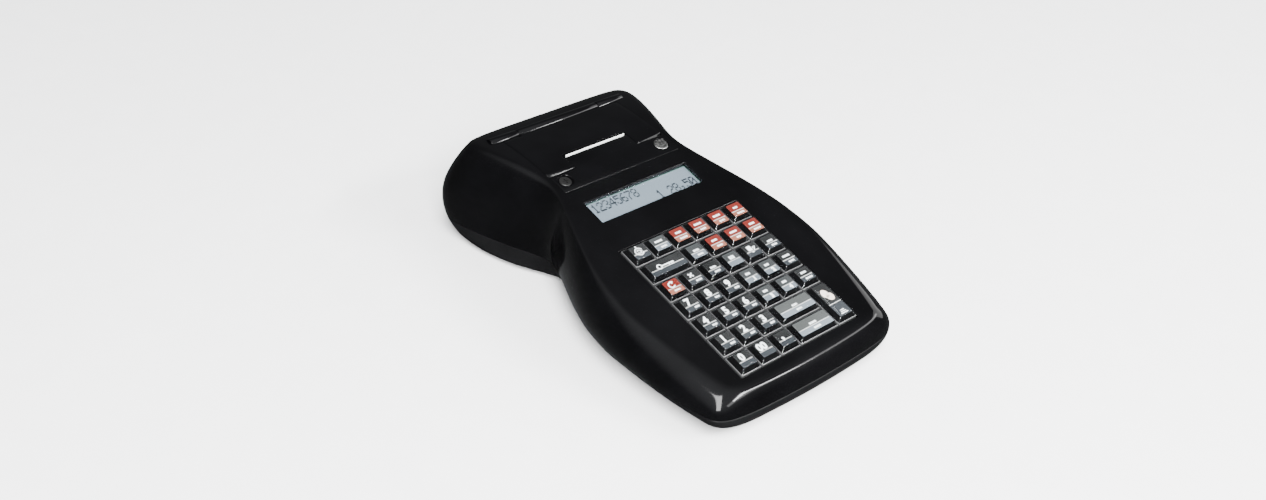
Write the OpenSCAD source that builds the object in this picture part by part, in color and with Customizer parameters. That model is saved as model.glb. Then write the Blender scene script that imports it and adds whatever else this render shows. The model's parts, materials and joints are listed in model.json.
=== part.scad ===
// Handheld electronic fare terminal and cash register with a built-in receipt printer.
// Lengths are in millimetres. The deck frame has x to the right, y to the rear and z along the
// deck's normal, with y = 0 at the middle of the key grid. on_deck() puts it on the table frame,
// whose origin is under the middle of the object, on the surface that it stands on.

/* [Housing] */
// Angle between the deck and the table
deck_tilt = 13; // [12.5:0.1:13.5]
// Height of the middle of the key grid above the table
deck_rise = 34; // [33.5:0.25:35]
// Wall thickness of the two shells
wall = 2.2; // [1.8:0.1:2.6]
// Height of the split line between the two shells
seam_z = 13; // [11:0.5:14]
// Height of the rubber feet
foot_h = 3; // [2.5:0.25:3.5]

/* [Keys] */
// Spacing of the keys across the deck
key_pitch_x = 12.7; // [12.4:0.1:12.8]
// Spacing of the keys along the deck
key_pitch_y = 12.3; // [12:0.1:12.4]
// Gap between two keys at their base
key_gap = 0.4; // [0.3:0.05:0.6]
// Height of a key's top above the deck
key_rise = 3.2; // [2.4:0.1:4]
// How far each side of a key leans in towards its top
key_lean = 1.8; // [1.4:0.1:2.2]
// Travel of a key
key_travel = 1.6; // [1.2:0.1:1.8]

/* [Display] */
// Width of the display window
window_w = 65.8; // [60:0.1:68]
// Height of the display window along the deck
window_l = 14.3; // [12:0.1:16]
// Depth of the window's face below the deck
window_sink = 0.4; // [0.2:0.1:0.8]

/* [Printer] */
// Width of the paper
paper_w = 38; // [36:0.5:39]
// Radius of the paper roll
roll_r = 16.2; // [12:0.1:16.4]
// Radius of the rubber platen
platen_r = 4.5; // [4:0.1:4.6]
// Half the width of the paper lid and the slot panel
lid_half_w = 37; // [36:0.5:37.5]
// Radius of the lid's hinge barrel
barrel_r = 3.2; // [3:0.1:3.4]
// Teeth on the platen's gear
platen_teeth = 30; // [28:1:30]
// Teeth on the motor's pinion
pinion_teeth = 12; // [12:1:14]

/* [Hidden] */
// Shift that puts the middle of the object's box over the origin
row_shift = -52.81;

// Right half of the deck's edge in plan, from the front's middle to the rear's middle
deck_edge = [
    [0, -48.5], [24, -48], [41, -46.8], [46.5, -44.6], [49.2, -40],
    [54.6, -19], [58.8, 3], [59.6, 16], [58, 33], [55, 47],
    [50.5, 61], [45.7, 75], [41.8, 87], [41, 97], [43.7, 110],
    [47.6, 125], [50.3, 138], [49.5, 144.3], [43.5, 147.8],
    [22, 148.5], [0, 148.5]];
// Right half of the widest line round the body, with its height under the deck's plane
waist_line = [
    [0, -58.5, -11], [25, -58, -11], [46, -56.5, -11.5], [57.5, -52, -10], [61.5, -43, -9.5],
    [65.5, -21, -11], [67.6, 2, -11.5], [67.6, 16, -12.5], [65, 32, -13], [60.5, 45, -14],
    [54.5, 58.5, -15], [48.3, 72, -15.5], [44.5, 83, -16], [45.8, 93, -17.5], [51, 107, -20.5],
    [57, 123, -25], [61.5, 137, -30], [62, 145.5, -34], [55, 151.5, -37],
    [27, 153.5, -38], [0, 153.5, -38]];
// Right half of the flat underside's edge in plan
base_edge = [
    [0, -53], [24, -52.5], [39, -50], [44.5, -45.5], [47, -38],
    [49, -19], [50.5, 2], [50.5, 15], [48.5, 30], [45, 43],
    [41, 55], [37.5, 65], [36.5, 74], [41, 84], [48.5, 98],
    [53.5, 114], [54.5, 127], [51.5, 137], [44, 143],
    [22, 145], [0, 145]];

// Rings between two points of an outline, and between the deck's edge and the underside
outline_steps = 2;
corner_rings = 2;
upper_rings = 3;
lower_rings = 4;
// Where the top starts to fall away behind the display, and by how much it has fallen at the rear
fall_start_y = 84;
fall_end_y = 148;
fall_depth = 10.5;
// Rounding of the top's edge on the deck and on the printer head
deck_round = 1.2;
head_round = 3;
// The sides bulge, from 0 for a straight slope to 1 for a quarter round
deck_bulge = 0.85;
head_bulge = 0.45;
bulge_end_y = 82;
slope_start_y = 104;

fit = 0.15;
key_cols = 6;
key_rows = 7;
// Stack under the keys, as heights on the deck's normal
skirt_z = -2.2;
well_top_z = skirt_z - key_travel - 0.3;
well_floor = 1.5;
well_wall = 1.6;
well_gap = 0.35;
plunger_w = 3.4;
plunger_fit = 0.2;
dome_z = -8.4;
mat_top_z = -8.8;
board_top_z = -9.8;
board_t = 1.6;
plunger_z = dome_z + key_travel + 0.1;

window_y = 69.5;
panel_front_y = 86.4;
lid_side_front_y = 99.4;
slot_half_w = 20.3;
slot_front_y = 108.2;
slot_rear_y = 110.8;
hinge_y = 138.5;
hinge_z = -9.5;
lid_rear_y = 136.3;
knuckle_clear = 0.3;
knuckle_half_w = 25.7;
knuckle_gap = 0.4;
barrel_half_w = 43;
pin_r = 1.2;
panel_screw_x = 31.2;
panel_screw_y = 93.7;

platen_y = 113.5;
platen_z = -14;
platen_half_w = 19.5;
shaft_r = 1.5;
running_gap = 0.05;
gear_module = 0.4;
gear_pressure = 25;
gear_backlash = 0.1;
gear_x = 24.5;
gear_w = 3;
mesh_angle = 200;
mesh_distance = gear_module * (platen_teeth + pinion_teeth) / 2;
pinion_y = platen_y + mesh_distance * cos(mesh_angle);
pinion_z = platen_z + mesh_distance * sin(mesh_angle);
motor_x = 29.4;
motor_w = 9;
motor_r = 6.5;
motor_shaft_r = 0.75;
plate_x = 22;
plate_t = 1.5;
frame_front_y = 97.5;
frame_rear_y = 118;
frame_floor_z = -25;
web_y = 108.55;
web_t = 0.2;
web_top_z = 0.6;
roll_y = 125.5;
roll_z = -33.5;
roll_core_r = 6;
rib_t = 2;
cradle_y = 129.8;
cradle_half_l = 13;
cradle_top_z = 23;

screw_r = 1.5;
screw_head_r = 2.8;
screw_head_h = 1.8;
boss_r = 3.6;
// Housing screws, as x and y beside the deck's outline
SCREWS = [[-45, -25], [45, -25], [-44, 116], [44, 116]];
FEET = [[-38, -38], [38, -38], [-42, 144], [42, 144]];
foot_r = 6;
cell_r = 7.05;
cell_len = 50;
cell_front_y = 6;
jack_x = 30;
jack_z = 21;
jack_rear_y = 156.1;
jack_len = 11;
jack_half_w = 7;
jack_half_h = 5.5;
jack_bore_r = 2.8;
jack_bore_len = 9;
jack_port_r = 5;

gloss_black = [0.05, 0.05, 0.06];
dark_grey = [0.16, 0.16, 0.17];
key_dark = [0.2, 0.2, 0.2];
key_grey = [0.42, 0.43, 0.42];
key_light = [0.5, 0.52, 0.54];
key_red = [0.66, 0.31, 0.26];

// Each key's name, its column and row from the rear left, its size in pitches, and its colour
KEYS = [
    ["key_mode", 0, 0, 1, 1, key_dark], ["key_tariff", 1, 0, 1, 1, key_grey],
    ["key_fare_1", 2, 0, 1, 1, key_red], ["key_fare_2", 3, 0, 1, 1, key_red],
    ["key_fare_3", 4, 0, 1, 1, key_red], ["key_fare_4", 5, 0, 1, 1, key_red],
    ["key_lock", 0, 1, 2, 1, key_dark], ["key_shift", 2, 1, 1, 1, key_grey],
    ["key_fare_5", 3, 1, 1, 1, key_red], ["key_fare_6", 4, 1, 1, 1, key_red],
    ["key_fare_7", 5, 1, 1, 1, key_red],
    ["key_clear", 0, 2, 1, 1, key_red], ["key_multiply", 1, 2, 1, 1, key_dark],
    ["key_discount", 2, 2, 1, 1, key_dark], ["key_lookup", 3, 2, 1, 1, key_grey],
    ["key_feed", 4, 2, 1, 1, key_dark], ["key_report", 5, 2, 1, 1, key_dark],
    ["key_7", 0, 3, 1, 1, key_dark], ["key_8", 1, 3, 1, 1, key_dark],
    ["key_9", 2, 3, 1, 1, key_dark], ["key_zone_1", 3, 3, 1, 1, key_grey],
    ["key_zone_2", 4, 3, 1, 1, key_grey], ["key_card", 5, 3, 1, 1, key_dark],
    ["key_4", 0, 4, 1, 1, key_dark], ["key_5", 1, 4, 1, 1, key_dark],
    ["key_6", 2, 4, 1, 1, key_dark], ["key_zone_3", 3, 4, 1, 1, key_grey],
    ["key_zone_4", 4, 4, 1, 1, key_grey], ["key_cheque", 5, 4, 1, 1, key_dark],
    ["key_1", 0, 5, 1, 1, key_dark], ["key_2", 1, 5, 1, 1, key_dark],
    ["key_3", 2, 5, 1, 1, key_dark], ["key_subtotal", 3, 5, 2, 1, key_light],
    ["key_cash", 5, 5, 1, 2, key_dark],
    ["key_0", 0, 6, 1, 1, key_dark], ["key_00", 1, 6, 1, 1, key_dark],
    ["key_point", 2, 6, 1, 1, key_dark], ["key_total", 3, 6, 2, 1, key_light]];

$fn = 48;

// ---- Frames -------------------------------------------------------------------------------

// Puts the deck frame on the table
module on_deck() {
    translate([0, row_shift, deck_rise]) rotate([deck_tilt, 0, 0]) children();
}

// Inside the deck frame, goes back to heights above the table, with y as on the deck at z = 0
module upright() {
    rotate([-deck_tilt, 0, 0]) translate([0, 0, -deck_rise]) children();
}

// Turns a shape drawn in y and z, and extruded, so that it lies along x
module along_x() {
    rotate([90, 0, 90]) children();
}

// Deck z of a point at height h above the table, over deck position y
function table_z(y, h) = (h - deck_rise - sin(deck_tilt) * y) / cos(deck_tilt);

// Height of the top surface over deck position y
function top_z(y) =
    y < fall_start_y ? 0 : -fall_depth * pow((y - fall_start_y) / (fall_end_y - fall_start_y), 2);

// ---- Housing surface ----------------------------------------------------------------------

function mix(a, b, t) = a + (b - a) * t;
function smooth(t) = let (u = min(1, max(0, t))) u * u * (3 - 2 * u);
function flip(p) = [-p.x, p.y, p.z];

// Point i of a half outline, carried past either end by its mirror image
function point_at(c, i) =
    i < 0 ? flip(c[-i]) : i >= len(c) ? flip(c[2 * len(c) - 2 - i]) : c[i];

// A smooth curve through b and c, with a and d beside them
function curve_between(a, b, c, d, t) =
    0.5 * (2 * b + (c - a) * t + (2 * a - 5 * b + 4 * c - d) * t * t
        + (3 * b - a - 3 * c + d) * t * t * t);

function half_curve(c) = concat(
    [for (i = [0:len(c) - 2], k = [0:outline_steps - 1])
        curve_between(point_at(c, i - 1), c[i], c[i + 1], point_at(c, i + 2), k / outline_steps)],
    [c[len(c) - 1]]);

function whole_curve(c) =
    let (h = half_curve(c)) concat(h, [for (i = [len(h) - 2:-1:1]) flip(h[i])]);

// Moves a ring's points inwards in plan
function inset(ring, d) =
    let (n = len(ring))
    [for (i = [0:n - 1])
        let (t = ring[(i + 1) % n] - ring[(i + n - 1) % n], size = norm([t.x, t.y]))
        ring[i] + d(i) / size * [-t.y, t.x, 0]];

function with_z(ring, z) = [for (p = ring) [p.x, p.y, z(p)]];

// How far the side bulges beside the deck and on the printer head
function bulge(y) =
    mix(deck_bulge, head_bulge, smooth((y - bulge_end_y) / (slope_start_y - bulge_end_y)));
function edge_round(y) =
    mix(deck_round, head_round, smooth((y - bulge_end_y) / (slope_start_y - bulge_end_y)));

// Point on the side, from the top's edge at u = 0 to the widest line at u = 1
function side_point(a, b, u) =
    let (k = bulge(a.y), across = mix(u, sin(90 * u), k), down = mix(u, 1 - cos(90 * u), k))
    [mix(a.x, b.x, across), mix(a.y, b.y, across), mix(a.z, b.z, down)];

// Point under the widest line, from it at v = 0 to the underside's edge at v = 1
function under_point(b, c, v) =
    [mix(c.x, b.x, cos(90 * v)), mix(c.y, b.y, cos(90 * v)), mix(b.z, c.z, sin(90 * v))];

function bend(a, b, c, t) = (1 - t) * (1 - t) * a + 2 * t * (1 - t) * b + t * t * c;

// All rings of a body inset by d, with its top lowered by top_d and its underside raised by base_d
function body_rings(d, top_d, base_d) =
    let (
        edge_out = whole_curve([for (p = deck_edge) [p.x, p.y, 0]]),
        wide_out = whole_curve(waist_line),
        base_out = whole_curve([for (p = base_edge) [p.x, p.y, 0]]),
        edge = with_z(inset(edge_out, function (i) d), function (p) top_z(p.y) - top_d),
        wide = inset(wide_out, function (i) d),
        base = with_z(inset(base_out, function (i) d), function (p) table_z(p.y, foot_h + base_d)),
        brim = with_z(inset(edge, function (i) edge_round(edge_out[i].y)),
            function (p) top_z(p.y) - top_d),
        n = len(edge),
        turn = [for (i = [0:n - 1]) min(0.6, edge_round(edge[i].y) / norm(wide[i] - edge[i]))])
    concat(
        [for (k = [0:corner_rings])
            [for (i = [0:n - 1])
                bend(brim[i], edge[i], side_point(edge[i], wide[i], turn[i]), k / corner_rings)]],
        [for (k = [1:upper_rings])
            [for (i = [0:n - 1]) side_point(edge[i], wide[i], mix(turn[i], 1, k / upper_rings))]],
        [for (k = [1:lower_rings])
            [for (i = [0:n - 1]) under_point(wide[i], base[i], k / lower_rings)]]);

// A closed solid through rings that run round it from top to underside
module ring_solid(rings) {
    n = len(rings[0]);
    last = (len(rings) - 1) * n;
    sides = [for (k = [0:len(rings) - 2], i = [0:n - 1])
        let (a = k * n + i, b = k * n + (i + 1) % n)
        each [[a, b, b + n], [a, b + n, a + n]]];
    caps = [for (i = [1:n / 2 - 2])
        each [[n - i, n - i - 1, i + 1, i], [last + i, last + i + 1, last + n - i - 1, last + n - i]]];
    ends = [[n - 1, 1, 0], [n / 2 + 1, n / 2, n / 2 - 1],
        [last, last + 1, last + n - 1], [last + n / 2 - 1, last + n / 2, last + n / 2 + 1]];
    polyhedron(points = [for (r = rings) each r], faces = concat(sides, caps, ends));
}

module outer_body() {
    ring_solid(body_rings(0, 0, 0));
}

module inner_body() {
    ring_solid(body_rings(wall, wall, wall));
}

// Joins a faceted skin into one mesh; a size of 0 leaves that axis as it is
module one_mesh() {
    resize([0, 0, 0]) union() {
        children();
    }
}

module shell() {
    difference() {
        outer_body();
        inner_body();
    }
}

// Everything above or below the split line
module above_seam() {
    upright() translate([-90, -90, seam_z]) cube([180, 280, 90]);
}

module below_seam() {
    upright() translate([-90, -90, -10]) cube([180, 280, seam_z + 10]);
}

// A block given by its limits on the three axes
module block(x, y, z) {
    translate([x[0], y[0], z[0]]) cube([x[1] - x[0], y[1] - y[0], z[1] - z[0]]);
}

// ---- Panel and lid footprints -------------------------------------------------------------

module panel_outline(gap) {
    half_w = lid_half_w + gap;
    polygon([[-half_w, panel_front_y - gap], [half_w, panel_front_y - gap],
        [half_w, lid_side_front_y - fit + gap], [slot_half_w - fit + gap, lid_side_front_y - fit + gap],
        [slot_half_w - fit + gap, slot_front_y + gap], [-slot_half_w + fit - gap, slot_front_y + gap],
        [-slot_half_w + fit - gap, lid_side_front_y - fit + gap],
        [-half_w, lid_side_front_y - fit + gap]]);
}

module lid_outline() {
    polygon([[-lid_half_w, lid_side_front_y + fit], [-slot_half_w - fit, lid_side_front_y + fit],
        [-slot_half_w - fit, slot_rear_y], [slot_half_w + fit, slot_rear_y],
        [slot_half_w + fit, lid_side_front_y + fit], [lid_half_w, lid_side_front_y + fit],
        [lid_half_w, lid_rear_y], [knuckle_half_w, lid_rear_y], [knuckle_half_w, hinge_y],
        [-knuckle_half_w, hinge_y], [-knuckle_half_w, lid_rear_y], [-lid_half_w, lid_rear_y]]);
}

// The top skin of the housing over a footprint
module top_skin(thickness) {
    one_mesh() difference() {
        intersection() {
            outer_body();
            translate([0, 0, -20]) linear_extrude(height = 30) children();
        }
        translate([0, 0, -thickness]) outer_body();
    }
}

module barrel(x0, x1, radius) {
    translate([x0, hinge_y, hinge_z]) along_x() cylinder(h = x1 - x0, r = radius);
}

// ---- Keys ---------------------------------------------------------------------------------

grid_half_x = key_cols * key_pitch_x / 2;
grid_half_y = key_rows * key_pitch_y / 2;

// One level of a key's cap: a rectangle with cut corners
function cap_level(half_x, half_y, cut, z) = [
    [half_x - cut, -half_y, z], [half_x, cut - half_y, z],
    [half_x, half_y - cut, z], [half_x - cut, half_y, z],
    [cut - half_x, half_y, z], [-half_x, half_y - cut, z],
    [-half_x, cut - half_y, z], [cut - half_x, -half_y, z]];

// A key's cap: straight skirt, leaning sides and a small chamfer round the top
module key_cap(half_x, half_y) {
    levels = [
        cap_level(half_x, half_y, 0.4, skirt_z),
        cap_level(half_x, half_y, 0.4, 0.2),
        cap_level(half_x - key_lean + 0.2, half_y - key_lean + 0.2, 0.6, key_rise - 0.35),
        cap_level(half_x - key_lean - 0.15, half_y - key_lean - 0.15, 0.6, key_rise)];
    n = len(levels[0]);
    last = (len(levels) - 1) * n;
    sides = [for (k = [0:len(levels) - 2], i = [0:n - 1])
        let (a = k * n + i, b = k * n + (i + 1) % n)
        each [[a, b + n, b], [a, a + n, b + n]]];
    ends = [[for (i = [0:n - 1]) i], [for (i = [n - 1:-1:0]) last + i]];
    polyhedron(points = [for (r = levels) each r], faces = concat(sides, ends));
}

// A key's cap with its plunger under it
module key(k) {
    centre_x = -grid_half_x + (k[1] + k[3] / 2) * key_pitch_x;
    centre_y = grid_half_y - (k[2] + k[4] / 2) * key_pitch_y;
    color(k[5]) on_deck() translate([centre_x, centre_y, 0]) {
        key_cap((k[3] * key_pitch_x - key_gap) / 2, (k[4] * key_pitch_y - key_gap) / 2);
        block([-plunger_w / 2, plunger_w / 2], [-plunger_w / 2, plunger_w / 2],
            [plunger_z, skirt_z]);
    }
}

// Runs its child at the middle of every key
module at_keys() {
    for (k = KEYS) {
        translate([-grid_half_x + (k[1] + k[3] / 2) * key_pitch_x,
            grid_half_y - (k[2] + k[4] / 2) * key_pitch_y, 0]) children();
    }
}

// The well that the keys stand in, with its guide floor
module key_well() {
    in_x = grid_half_x + well_gap;
    in_y = grid_half_y + well_gap;
    out_x = in_x + well_wall;
    out_y = in_y + well_wall;
    guide_half = plunger_w / 2 + plunger_fit;
    difference() {
        block([-out_x, out_x], [-out_y, out_y], [well_top_z - well_floor, -wall / 2]);
        block([-in_x, in_x], [-in_y, in_y], [well_top_z, 1]);
        at_keys() block([-guide_half, guide_half], [-guide_half, guide_half],
            [well_top_z - well_floor - 1, well_top_z + 1]);
    }
}

// ---- Housing ------------------------------------------------------------------------------

// Runs its child upright at each housing screw, at the deck y given in SCREWS
module at_screws() {
    for (s = SCREWS) {
        upright() translate([s[0], s[1], 0]) children();
    }
}

// Bosses that the housing screws bite into, from the split line up to the skin above
module upper_bosses() {
    intersection() {
        outer_body();
        for (s = SCREWS) {
            upright() translate([s[0], s[1], seam_z])
                cylinder(h = deck_rise + sin(deck_tilt) * s[1] + top_z(s[1]) - seam_z - 1, r = boss_r);
        }
    }
}

// Bar under the slot panel that its two screws bite into
module panel_bar() {
    intersection() {
        outer_body();
        block([-60, 60], [88.5, 98.5], [-5.6, -3.2]);
    }
}

// Fixed side knuckles of the lid's hinge
module side_knuckles() {
    for (s = [-1, 1]) {
        x0 = s < 0 ? -barrel_half_w : knuckle_half_w + knuckle_gap;
        barrel(x0, x0 + barrel_half_w - knuckle_half_w - knuckle_gap, barrel_r);
    }
}

// The upper skin with its bosses, and with the openings for keys, window, panel, slot and lid
module upper_skin() {
    one_mesh() difference() {
        union() {
            intersection() {
                shell();
                above_seam();
            }
            upper_bosses();
            panel_bar();
            key_well();
        }
        block([-grid_half_x - well_gap, grid_half_x + well_gap],
            [-grid_half_y - well_gap, grid_half_y + well_gap], [-wall - 0.1, 1]);
        block([-window_w / 2 - fit, window_w / 2 + fit],
            [window_y - window_l / 2 - fit, window_y + window_l / 2 + fit], [-wall - 1, 1]);
        block([-lid_half_w - fit, lid_half_w + fit],
            [panel_front_y - fit, slot_rear_y], [-3.19, 1]);
        block([-lid_half_w - fit, lid_half_w + fit], [lid_side_front_y, hinge_y], [hinge_z - 1, 1]);
        block([-knuckle_half_w - knuckle_gap, knuckle_half_w + knuckle_gap],
            [hinge_y - barrel_r - knuckle_gap, hinge_y + barrel_r + knuckle_gap],
            [hinge_z - barrel_r - knuckle_gap, 1]);
        upright() translate([jack_x, jack_rear_y - 4, jack_z]) rotate([-90, 0, 0])
            cylinder(h = 20, r = jack_port_r);
    }
}

module upper_housing() {
    color(gloss_black) on_deck() difference() {
        union() {
            upper_skin();
            side_knuckles();
        }
        barrel(-barrel_half_w - 1, barrel_half_w + 1, pin_r + running_gap);
        for (x = [-panel_screw_x, panel_screw_x]) {
            translate([x, panel_screw_y, -7]) cylinder(h = 5, r = 1.1);
        }
        at_screws() translate([0, 0, seam_z - 1]) cylinder(h = 8, r = screw_r - 0.25);
    }
}

// Posts on the floor of the lower housing, each with the height of its top
POSTS = concat(
    [for (x = [-19, 0, 19, 36]) [x, 101, frame_floor_z]],
    [for (x = [-30, 30], y = [-34, 68]) [x, y, board_top_z - board_t]]);

// Posts under the printer frame and the main board
module posts() {
    for (p = POSTS) {
        floor_z = table_z(p[1], foot_h + wall / 2);
        translate([p[0], p[1], floor_z]) cylinder(h = p[2] - floor_z, r = 2.5);
    }
}

// Ribs that the paper roll lies on, and the seat under the power jack
module bay_ribs() {
    rib_bottom = foot_h + wall / 2;
    difference() {
        for (x = [-15, 0, 15]) {
            upright() translate([x - rib_t / 2, cradle_y - cradle_half_l, rib_bottom])
                cube([rib_t, 2 * cradle_half_l, cradle_top_z - rib_bottom]);
        }
        translate([-paper_w, roll_y, roll_z]) along_x() cylinder(h = 2 * paper_w, r = roll_r + 0.3);
    }
    upright() translate([jack_x - 5, jack_rear_y - jack_len + 1, rib_bottom])
        cube([10, jack_len - 2, jack_z - jack_half_h - rib_bottom]);
}

module lower_housing() {
    color(dark_grey) on_deck() difference() {
        union() {
            one_mesh() union() {
                intersection() {
                    shell();
                    below_seam();
                }
                intersection() {
                    outer_body();
                    below_seam();
                    at_screws() translate([0, 0, 1]) cylinder(h = seam_z - 1, r = boss_r + 1);
                }
            }
            posts();
            bay_ribs();
        }
        at_screws() {
            translate([0, 0, -1]) cylinder(h = 30, r = screw_r + 0.15);
            translate([0, 0, -1]) cylinder(h = foot_h + 1 + screw_head_h + 1.5, r = screw_head_r + 0.3);
        }
    }
}

module slot_panel() {
    color(gloss_black) on_deck() difference() {
        top_skin(wall) panel_outline(0);
        for (x = [-panel_screw_x, panel_screw_x]) {
            translate([x, panel_screw_y, -8]) cylinder(h = 10, r = 1.7);
            translate([x, panel_screw_y, -1.2]) cylinder(h = 5, r = 4);
        }
    }
}

module paper_lid() {
    color(gloss_black) on_deck() difference() {
        union() {
            top_skin(wall) lid_outline();
            barrel(-knuckle_half_w, knuckle_half_w, barrel_r);
        }
        barrel(-knuckle_half_w - 1, knuckle_half_w + 1, pin_r + running_gap);
        barrel(knuckle_half_w, lid_half_w + 1, barrel_r + knuckle_clear);
        barrel(-lid_half_w - 1, -knuckle_half_w, barrel_r + knuckle_clear);
    }
}

module hinge_pin() {
    color("silver") on_deck() barrel(-barrel_half_w + 1, barrel_half_w - 1, pin_r);
}

// ---- Display ------------------------------------------------------------------------------

module display_window() {
    color([0.6, 0.65, 0.68, 0.6]) on_deck()
        block([-window_w / 2, window_w / 2], [window_y - window_l / 2, window_y + window_l / 2],
            [-wall, -window_sink]);
}

module lcd_module() {
    color([0.3, 0.4, 0.3]) on_deck() {
        block([-35.6, 35.6], [window_y - 12, window_y + 12], [-7.8, -wall - 0.2]);
        block([-37.5, 37.5], [window_y - 15, window_y + 15], [board_top_z, -7.8]);
    }
}

// ---- Keyboard electronics -----------------------------------------------------------------

module main_board() {
    color("darkgreen") on_deck() translate([0, 0, board_top_z - board_t])
        linear_extrude(height = board_t)
            polygon([[-40.5, -40], [40.5, -40], [40.5, 50], [34, 84], [-34, 84], [-40.5, 50]]);
}

module key_mat() {
    color("lightgrey") on_deck() {
        block([-grid_half_x, grid_half_x], [-grid_half_y, grid_half_y], [board_top_z, mat_top_z]);
        at_keys() translate([0, 0, mat_top_z]) cylinder(h = dome_z - mat_top_z, r1 = 3, r2 = 2);
    }
}

module battery_pack() {
    color("steelblue") on_deck() for (i = [-2:2]) {
        upright() translate([i * 2 * cell_r, cell_front_y, foot_h + wall + cell_r])
            rotate([-90, 0, 0]) cylinder(h = cell_len, r = cell_r);
    }
}

// ---- Printer ------------------------------------------------------------------------------

module printer_frame() {
    color("silver") on_deck() difference() {
        union() {
            block([-plate_x - plate_t, 40.5], [frame_front_y, slot_front_y], [frame_floor_z, frame_floor_z + plate_t]);
            for (x = [-plate_x - plate_t, plate_x]) {
                block([x, x + plate_t], [frame_front_y, frame_rear_y], [frame_floor_z, -8]);
            }
            block([motor_x - 1, motor_x], [frame_front_y, slot_front_y + 4], [frame_floor_z, -9.5]);
        }
        translate([-40, platen_y, platen_z]) along_x() cylinder(h = 65, r = shaft_r + running_gap);
        translate([motor_x - 2, pinion_y, pinion_z]) along_x() cylinder(h = 3, r = 3);
    }
}

module thermal_head() {
    color("darkkhaki") on_deck() {
        block([-paper_w / 2 - 1, paper_w / 2 + 1], [106.3, 108.3], [-21, -7.5]);
        block([-plate_x, plate_x], [104, 106.3], [-22.5, -7.5]);
    }
}

module platen_roller() {
    color([0.12, 0.12, 0.12]) on_deck() translate([0, platen_y, platen_z]) along_x() union() {
        translate([0, 0, -platen_half_w]) cylinder(h = 2 * platen_half_w, r = platen_r);
        translate([0, 0, -plate_x - 3.2]) cylinder(h = plate_x + 3.2 + gear_x, r = shaft_r);
    }
}

// Involute angle at radius r on a base circle, in degrees
function involute(r, base_r) =
    r <= base_r ? 0 : sqrt(pow(r / base_r, 2) - 1) * 180 / PI - acos(base_r / r);

// Outline of a gear with a tooth's middle at angle 0
module gear_outline(teeth) {
    pitch_r = gear_module * teeth / 2;
    base_r = pitch_r * cos(gear_pressure);
    root_r = pitch_r - 1.25 * gear_module;
    tip_r = pitch_r + 0.9 * gear_module;
    half = 90 / teeth * (1 - gear_backlash);
    flank = [for (j = [0:4]) mix(max(root_r, base_r), tip_r, j / 4)];
    side = [for (r = flank) [r, half + involute(pitch_r, base_r) - involute(r, base_r)]];
    tooth = concat([[root_r, side[0][1]]], side);
    polygon([for (t = [0:teeth - 1]) each concat(
        [for (p = tooth) p[0] * [cos(t * 360 / teeth - p[1]), sin(t * 360 / teeth - p[1])]],
        [for (j = [len(tooth) - 1:-1:0]) let (p = tooth[j])
            p[0] * [cos(t * 360 / teeth + p[1]), sin(t * 360 / teeth + p[1])]])]);
}

module platen_gear() {
    color("white") on_deck() translate([gear_x, platen_y, platen_z]) along_x() difference() {
        rotate([0, 0, mesh_angle]) linear_extrude(height = gear_w) gear_outline(platen_teeth);
        translate([0, 0, -1]) cylinder(h = 2, r = shaft_r - 0.5);
    }
}

module motor_pinion() {
    color("gold") on_deck() translate([gear_x, pinion_y, pinion_z]) along_x() union() {
        rotate([0, 0, mesh_angle + 180 + 180 / pinion_teeth])
            linear_extrude(height = gear_w) gear_outline(pinion_teeth);
        cylinder(h = motor_x - gear_x + 4, r = motor_shaft_r);
    }
}

module stepper_motor() {
    color("grey") on_deck() translate([motor_x, pinion_y, pinion_z]) along_x() difference() {
        cylinder(h = motor_w, r = motor_r);
        translate([0, 0, -1]) cylinder(h = 6, r = motor_shaft_r + running_gap);
    }
}

module paper_roll() {
    color("white") on_deck() translate([-paper_w / 2, roll_y, roll_z]) along_x() difference() {
        cylinder(h = paper_w, r = roll_r);
        translate([0, 0, -1]) cylinder(h = paper_w + 2, r = roll_core_r);
    }
}

module paper_web() {
    color("white") on_deck()
        block([-paper_w / 2, paper_w / 2], [web_y, web_y + web_t], [roll_z, web_top_z]);
}

// ---- Fasteners, socket and feet -------------------------------------------------------------

module seal_screw() {
    color("silver") on_deck() translate([panel_screw_x, panel_screw_y, 0]) {
        translate([0, 0, -1.2]) cylinder(h = 0.9, r = 3.8);
        translate([0, 0, -5.4]) cylinder(h = 4.2, r = 1.05);
    }
}

module housing_screws() {
    color("dimgrey") on_deck() {
        translate([-panel_screw_x, panel_screw_y, -1.2]) cylinder(h = 0.6, r = 3.2);
        translate([-panel_screw_x, panel_screw_y, -5.4]) cylinder(h = 4.2, r = 1.05);
        at_screws() {
            translate([0, 0, foot_h + 1.5]) cylinder(h = screw_head_h, r = screw_head_r);
            translate([0, 0, foot_h + 1.5 + screw_head_h]) cylinder(h = 12, r = screw_r - 0.3);
        }
    }
}

module power_jack() {
    color("black") on_deck() upright() difference() {
        translate([jack_x - jack_half_w, jack_rear_y - jack_len, jack_z - jack_half_h])
            cube([2 * jack_half_w, jack_len, 2 * jack_half_h]);
        translate([jack_x, jack_rear_y + 1, jack_z]) rotate([90, 0, 0])
            cylinder(h = jack_bore_len + 1, r = jack_bore_r);
    }
}

module feet() {
    color("black") on_deck() for (f = FEET) {
        upright() translate([f[0], f[1], 0]) cylinder(h = foot_h, r = foot_r);
    }
}

upper_housing();
lower_housing();
slot_panel();
paper_lid();
hinge_pin();
display_window();
lcd_module();
main_board();
key_mat();
printer_frame();
thermal_head();
platen_roller();
platen_gear();
stepper_motor();
motor_pinion();
paper_roll();
paper_web();
seal_screw();
housing_screws();
battery_pack();
power_jack();
feet();
for (k = KEYS) key(k);
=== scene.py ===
import json
import math

import bmesh
import bpy
import numpy as np
from mathutils import Matrix, Vector


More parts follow.
